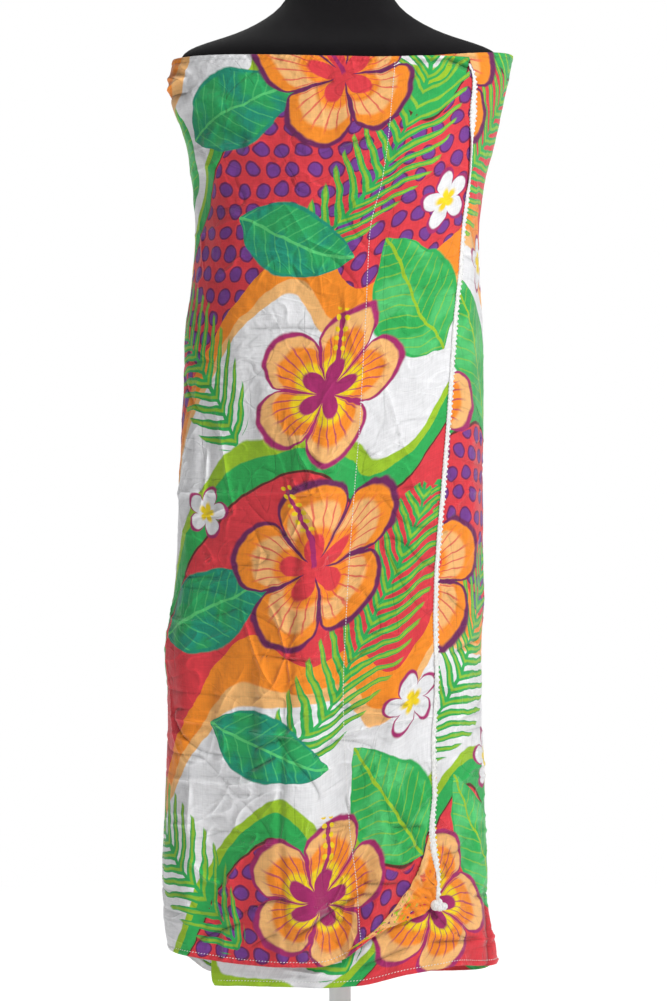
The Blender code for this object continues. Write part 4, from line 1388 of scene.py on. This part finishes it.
def make_braid(strip, yarn):
    """A plaited tape down the free edge that turns on edge once, with bobbles along its side."""
    steps, centre, out, side = braid_path(strip)
    height = centre[:, 2]
    edge_on = np.arctan2(out[:, 0], -out[:, 1]) - math.pi / 2
    twist = np.exp(-((height - BRAID_TWIST_HEIGHT) / BRAID_TWIST_LENGTH) ** 4) * edge_on
    twist += 0.15 * soft_noise(steps, steps * 0, 0.060, 1.0, 21)
    wide = side * np.cos(twist)[:, None] + out * np.sin(twist)[:, None]
    thick = out * np.cos(twist)[:, None] - side * np.sin(twist)[:, None]
    centre = centre + out * (np.abs(np.sin(twist)) * BRAID_HALF_WIDTH * 0.8)[:, None]
    swell = 1.0 + 0.10 * soft_noise(steps, steps * 0, 0.035, 1.0, 22)
    for middle, reach, gain in BRAID_SWELLS:
        swell += gain * bell(height - middle, reach)
    swell -= 0.34 * soft_step(1.220, 1.236, height)
    rings = []
    for index in range(BRAID_SIDES):
        angle = math.tau * index / BRAID_SIDES
        plait = 1.0 + 0.16 * np.sin(math.tau * steps / PLAIT_PITCH + 2.0 * angle)
        rings.append(centre
                     + wide * (BRAID_HALF_WIDTH * math.cos(angle) * swell * plait)[:, None]
                     + thick * (BRAID_HALF_THICKNESS * math.sin(angle) * swell * plait)[:, None])
    points = np.stack(rings, axis=1)
    tape = mesh_object("braid_tape", points, tube_faces(len(steps), BRAID_SIDES), yarn)
    turn_faces_out(tape)

    every = int(BOBBLE_PITCH / BRAID_STEP)
    places = [centre[k] + wide[k] * (BRAID_HALF_WIDTH * swell[k] + BOBBLE_RADIUS * 0.30)
              for k in range(every, len(steps) - every, every)]
    return tape, copies_of_ball("braid_bobbles", places, yarn)


def select_only(item):
    bpy.ops.object.select_all(action="DESELECT")
    item.select_set(True)
    bpy.context.view_layer.objects.active = item


@contextmanager
def all_in_edit_mode():
    bpy.ops.object.mode_set(mode="EDIT")
    bpy.ops.mesh.select_all(action="SELECT")
    yield
    bpy.ops.object.mode_set(mode="OBJECT")


def turn_faces_out(item):
    select_only(item)
    with all_in_edit_mode():
        bpy.ops.mesh.remove_doubles(threshold=0.00001)
        bpy.ops.mesh.normals_make_consistent(inside=False)


def new_primitive(add, name, **sizes):
    """A primitive added by hand, which is then the only one selected."""
    bpy.ops.object.select_all(action="DESELECT")
    add(**sizes)
    item = bpy.context.object
    item.name = name
    item.data.name = name
    return item


def apply_modifier(item, kind, **settings):
    modifier = item.modifiers.new(kind, kind)
    for name, value in settings.items():
        setattr(modifier, name, value)
    select_only(item)
    bpy.ops.object.modifier_apply(modifier=kind)


def copies_of_ball(name, places, material):
    """A small knotted bobble, modelled once and repeated at each place, as one joined mesh."""
    ball = new_primitive(bpy.ops.mesh.primitive_ico_sphere_add, "bobble", subdivisions=2, radius=1.0)
    with all_in_edit_mode():
        bpy.ops.transform.resize(value=(1.0, 0.9, 1.18))
    shape = np.array([vertex.co[:] for vertex in ball.data.vertices])
    faces = np.array([face.vertices[:] for face in ball.data.polygons])
    bpy.data.objects.remove(ball, do_unlink=True)
    points = np.concatenate([shape * BOBBLE_RADIUS + place for place in places])
    all_faces = np.concatenate([faces + k * len(shape) for k in range(len(places))])
    return mesh_object(name, points, all_faces.tolist(), material)


def make_braid_end(yarn):
    """The knotted end of the braid: three soft lobes, merged and rounded."""
    low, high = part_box("braid_end")
    centre = (Vector(low) + Vector(high)) / 2
    lobes = [((-0.0042, 0.0, 0.0000), (0.0056, 0.0036, 0.0062)),
             ((0.0048, -0.0004, -0.0012), (0.0048, 0.0032, 0.0044)),
             ((0.0004, -0.0010, -0.0028), (0.0046, 0.0034, 0.0038)),
             ((0.0000, 0.0002, 0.0040), (0.0036, 0.0026, 0.0036))]
    balls = []
    for offset, size in lobes:
        ball = new_primitive(bpy.ops.mesh.primitive_uv_sphere_add, "braid_knot", segments=24,
                             ring_count=14, radius=1.0)
        with all_in_edit_mode():
            bpy.ops.transform.resize(value=size)
            bpy.ops.transform.translate(value=centre + Vector(offset))
        balls.append(ball)
    knot = balls[0]
    select_only(knot)
    for ball in balls:
        ball.select_set(True)
    bpy.ops.object.join()
    apply_modifier(knot, "REMESH", mode="VOXEL", voxel_size=0.0005)
    apply_modifier(knot, "SMOOTH", iterations=4)
    bpy.ops.object.shade_smooth()
    knot.data.materials.append(yarn)
    return knot


# Rings of the dress form, in millimetres: half width, front depth and back depth at each
# height. Between the two tables, the rings at the tucked heights follow the cloth.
FormRing = namedtuple("FormRing", "height side front back")
LOWER_FORM = in_metres(FormRing, [
    (600, 134, 80, 90), (606, 141, 86, 96), (620, 145.5, 90, 100), (660, 152, 95, 105.5),
    (710, 156, 98.5, 109), (760, 153, 98.5, 105), (810, 142, 96.5, 95), (860, 128, 95, 86),
    (905, 120, 96, 82), (950, 123, 101, 86), (1000, 133, 109, 95), (1050, 145, 118, 104),
    (1100, 154, 123, 110),
])
UPPER_FORM = in_metres(FormRing, [
    (1263, 183, 91.5, 85), (1270, 176.5, 86, 81.5), (1276.5, 160, 80, 77), (1283.5, 136, 74, 72),
    (1293, 110, 68, 66.5), (1306, 86, 62.5, 61.5), (1320, 68, 57.5, 58), (1337, 57.5, 54, 55),
    (1360, 53, 52, 53), (1399.2, 51.5, 51, 51.5), (1400, 50.8, 50.3, 50.8),
])
TUCKED_HEIGHTS = [1.150, 1.175, 1.196, 1.214, 1.230, 1.244, 1.256]
FORM_SQUARENESS = 2.2
FORM_CLEARANCE = 0.0022


def form_rings():
    """Left, right, front and back reach, squareness and height of each ring, from low to high."""
    bare = [(row.side, row.side, row.front, row.back, FORM_SQUARENESS, row.height)
            for row in LOWER_FORM + UPPER_FORM]
    inset = LAYER_STEP + CLOTH_WALL + FORM_CLEARANCE
    tucked = []
    for height in TUCKED_HEIGHTS:
        left, right, depth, squareness = (
            float(table_value(DEEP_SECTIONS, "height", column, np.array([height]))[0])
            for column in ("left", "right", "depth", "squareness"))
        tucked.append((left - inset, right - inset, depth * FRONT_SHARE - inset,
                       depth * (1 - FRONT_SHARE) - inset, squareness, height))
    return bare[:len(LOWER_FORM)] + tucked + bare[len(LOWER_FORM):]


def shape_selected_ring(item, ring):
    """Moves the selected ring to its own reach on each side and to its height."""
    mesh = bmesh.from_edit_mesh(item.data)
    for vertex in mesh.verts:
        if vertex.select:
            angle = np.float64(math.atan2(vertex.co.x, -vertex.co.y))
            x, y = section_points(angle, *ring[:5])
            vertex.co = (float(x), float(y), ring[5])
    bmesh.update_edit_mesh(item.data)


def make_form(flock):
    """The torso: a ring pulled up step by step through its sizes, then smoothed."""
    form = new_primitive(bpy.ops.mesh.primitive_circle_add, "flocked_form", vertices=72,
                         radius=0.1, fill_type="NGON")
    rings = form_rings()
    with all_in_edit_mode():
        shape_selected_ring(form, rings[0])
        for ring in rings[1:]:
            bpy.ops.mesh.extrude_region_move(TRANSFORM_OT_translate={"value": (0.0, 0.0, 0.01)})
            shape_selected_ring(form, ring)
    turn_faces_out(form)
    apply_modifier(form, "SUBSURF", levels=1, render_levels=1)
    bpy.ops.object.shade_smooth_by_angle(angle=math.radians(50))
    form.data.materials.append(flock)
    return form


def turned_piece(name, profile, material, segments=96, bevel=0.0012):
    """A round piece: a profile of radius and height, spun about the upright axis."""
    item = new_primitive(bpy.ops.mesh.primitive_circle_add, name, vertices=segments,
                         radius=profile[0][0], location=(0.0, 0.0, profile[0][1]),
                         fill_type="NGON")
    bpy.ops.object.transform_apply(location=True, rotation=False, scale=False)
    with all_in_edit_mode():
        for (radius, height), (last_radius, last_height) in zip(profile[1:], profile):
            bpy.ops.mesh.extrude_region_move(
                TRANSFORM_OT_translate={"value": (0.0, 0.0, height - last_height)})
            scale = radius / last_radius
            bpy.ops.transform.resize(value=(scale, scale, 1.0), center_override=(0.0, 0.0, height))
    turn_faces_out(item)
    apply_modifier(item, "BEVEL", width=bevel, segments=3, limit_method="ANGLE",
                   angle_limit=math.radians(35))
    bpy.ops.object.shade_smooth_by_angle(angle=math.radians(40))
    item.data.materials.append(material)
    return item


def make_stand(paint, flock):
    """Neck cap, pole, collar and round base, at the frame's sizes."""
    cap_low, cap_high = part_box("neck_cap")
    pole_low, pole_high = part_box("stand_pole")
    base_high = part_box("stand_base")[1]
    collar_low, collar_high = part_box("base_collar")
    cap_radius = cap_high[0]
    cap = turned_piece("neck_cap_disc", [
        (cap_radius - 0.0006, cap_low[2]), (cap_radius, cap_low[2] + 0.0006),
        (cap_radius, cap_high[2] - 0.0046), (cap_radius - 0.0030, cap_high[2] - 0.0010),
        (cap_radius - 0.0100, cap_high[2])], flock)
    pole_radius = pole_high[0]
    pole = turned_piece("stand_tube", [
        (pole_radius, pole_low[2]), (pole_radius, 0.3), (pole_radius, pole_high[2])],
        paint, 64, 0.0006)
    base_radius = base_high[0]
    hole = pole_radius + 0.0003
    base = turned_piece("round_base", [
        (base_radius - 0.0025, 0.0), (base_radius - 0.0003, 0.0022), (base_radius, 0.0035),
        (base_radius - 0.0006, 0.0056), (base_radius - 0.0040, 0.0072),
        (base_radius * 0.55, 0.0130), (0.0300, 0.0155), (0.0260, base_high[2]),
        (hole, base_high[2]), (hole, 0.0062)], paint, 128, 0.0005)
    collar_radius = collar_high[0]
    collar = turned_piece("collar_ring", [
        (hole, collar_low[2]), (collar_radius, collar_low[2]),
        (collar_radius, collar_high[2] - 0.0020), (collar_radius - 0.0020, collar_high[2]),
        (hole, collar_high[2])], paint, 72, 0.0006)
    return cap, pole, base, collar


def make_stage(paper):
    """Wide plain floor just under the base."""
    stage = new_primitive(bpy.ops.mesh.primitive_plane_add, "pale_floor", size=FLOOR_SIZE)
    with all_in_edit_mode():
        bpy.ops.transform.translate(value=(0.0, 0.0, -FLOOR_DROP))
    stage.data.materials.append(paper)


def area_light(name, place, target, size, power):
    data = bpy.data.lights.new(name, "AREA")
    data.shape = "RECTANGLE"
    data.size, data.size_y = size
    data.energy = power
    light = put_in_scene(name, data)
    light.location = place
    light.rotation_euler = (Vector(target) - Vector(place)).to_track_quat("-Z", "Y").to_euler()
    light.visible_camera = False


def make_lights():
    """Key from the front right, weak fills, a white wall of light behind, and a white world."""
    area_light("key_softbox", (2.1, -2.2, 2.9), (0.0, 0.0, 0.8), (0.6, 0.7), 98.0)
    area_light("fill_softbox", (-2.2, -2.8, 1.0), (0.0, 0.0, 0.75), (1.4, 2.0), 12.0)
    area_light("floor_softbox", (0.0, 1.6, 3.2), (0.0, 3.8, 0.9), (3.0, 1.0), 70.0)
    area_light("wall_softbox", (0.0, 4.2, 1.9), (0.0, 0.0, 1.9), (4.4, 3.8), 50.0)
    area_light("back_softbox", (-1.7, 2.4, 2.3), (0.0, 0.0, 0.8), (1.2, 1.2), 16.0)
    world = bpy.data.worlds.new("studio")
    world.use_nodes = True
    nodes = world.node_tree.nodes
    nodes["Background"].inputs["Color"].default_value = (1.0, 1.0, 1.0, 1.0)
    seen = nodes.new("ShaderNodeMapRange")
    seen.inputs["To Min"].default_value = WORLD_LIGHT
    seen.inputs["To Max"].default_value = 1.0
    links = world.node_tree.links
    links.new(nodes.new("ShaderNodeLightPath").outputs["Is Camera Ray"], seen.inputs["Value"])
    links.new(seen.outputs["Result"], nodes["Background"].inputs["Strength"])
    bpy.context.scene.world = world


def make_camera():
    data = bpy.data.cameras.new("camera")
    data.lens = CAMERA_LENS
    data.sensor_width = 36.0
    data.clip_end = 50.0
    camera = put_in_scene("camera", data)
    camera.location = CAMERA_PLACE
    camera.rotation_euler = (math.radians(90), 0.0, 0.0)
    bpy.context.scene.camera = camera


def declare(piece, slot, *nodes):
    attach(piece, "root")
    if nodes:
        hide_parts(*nodes)


def main():
    bpy.context.scene.view_settings.view_transform = "Standard"
    make_camera()
    voile = printed_voile()
    thread = white_cotton("white_thread", 0.2, 1200.0)
    yarn = white_cotton("white_yarn", 0.3, 700.0)
    flock = black_flock()
    paint = satin_paint()

    sheets, stitches, strip = make_cloth(voile, thread)
    for node, piece in sheets.items():
        declare(piece, "printed_voile", node)
        for run in stitches[node]:
            declare(run, "printed_voile")
    corner = make_turned_corner(voile_under_side())
    declare(corner, "printed_voile")
    tape, bobbles = make_braid(strip, yarn)
    declare(tape, "white_braid", "bobble_braid")
    declare(bobbles, "white_braid")
    knot = make_braid_end(yarn)
    declare(knot, "white_braid", "braid_end")
    form = make_form(flock)
    declare(form, "black_flock", "dress_form")
    cap, pole, base, collar = make_stand(paint, flock)
    declare(cap, "black_flock", "neck_cap")
    declare(pole, "steel_pole", "stand_pole")
    declare(base, "steel_base", "stand_base")
    declare(collar, "steel_pole", "base_collar")
    stitches["end_strip"] + [tape, bobbles, knot]
    make_stage(pale_floor())
    make_lights()


main()
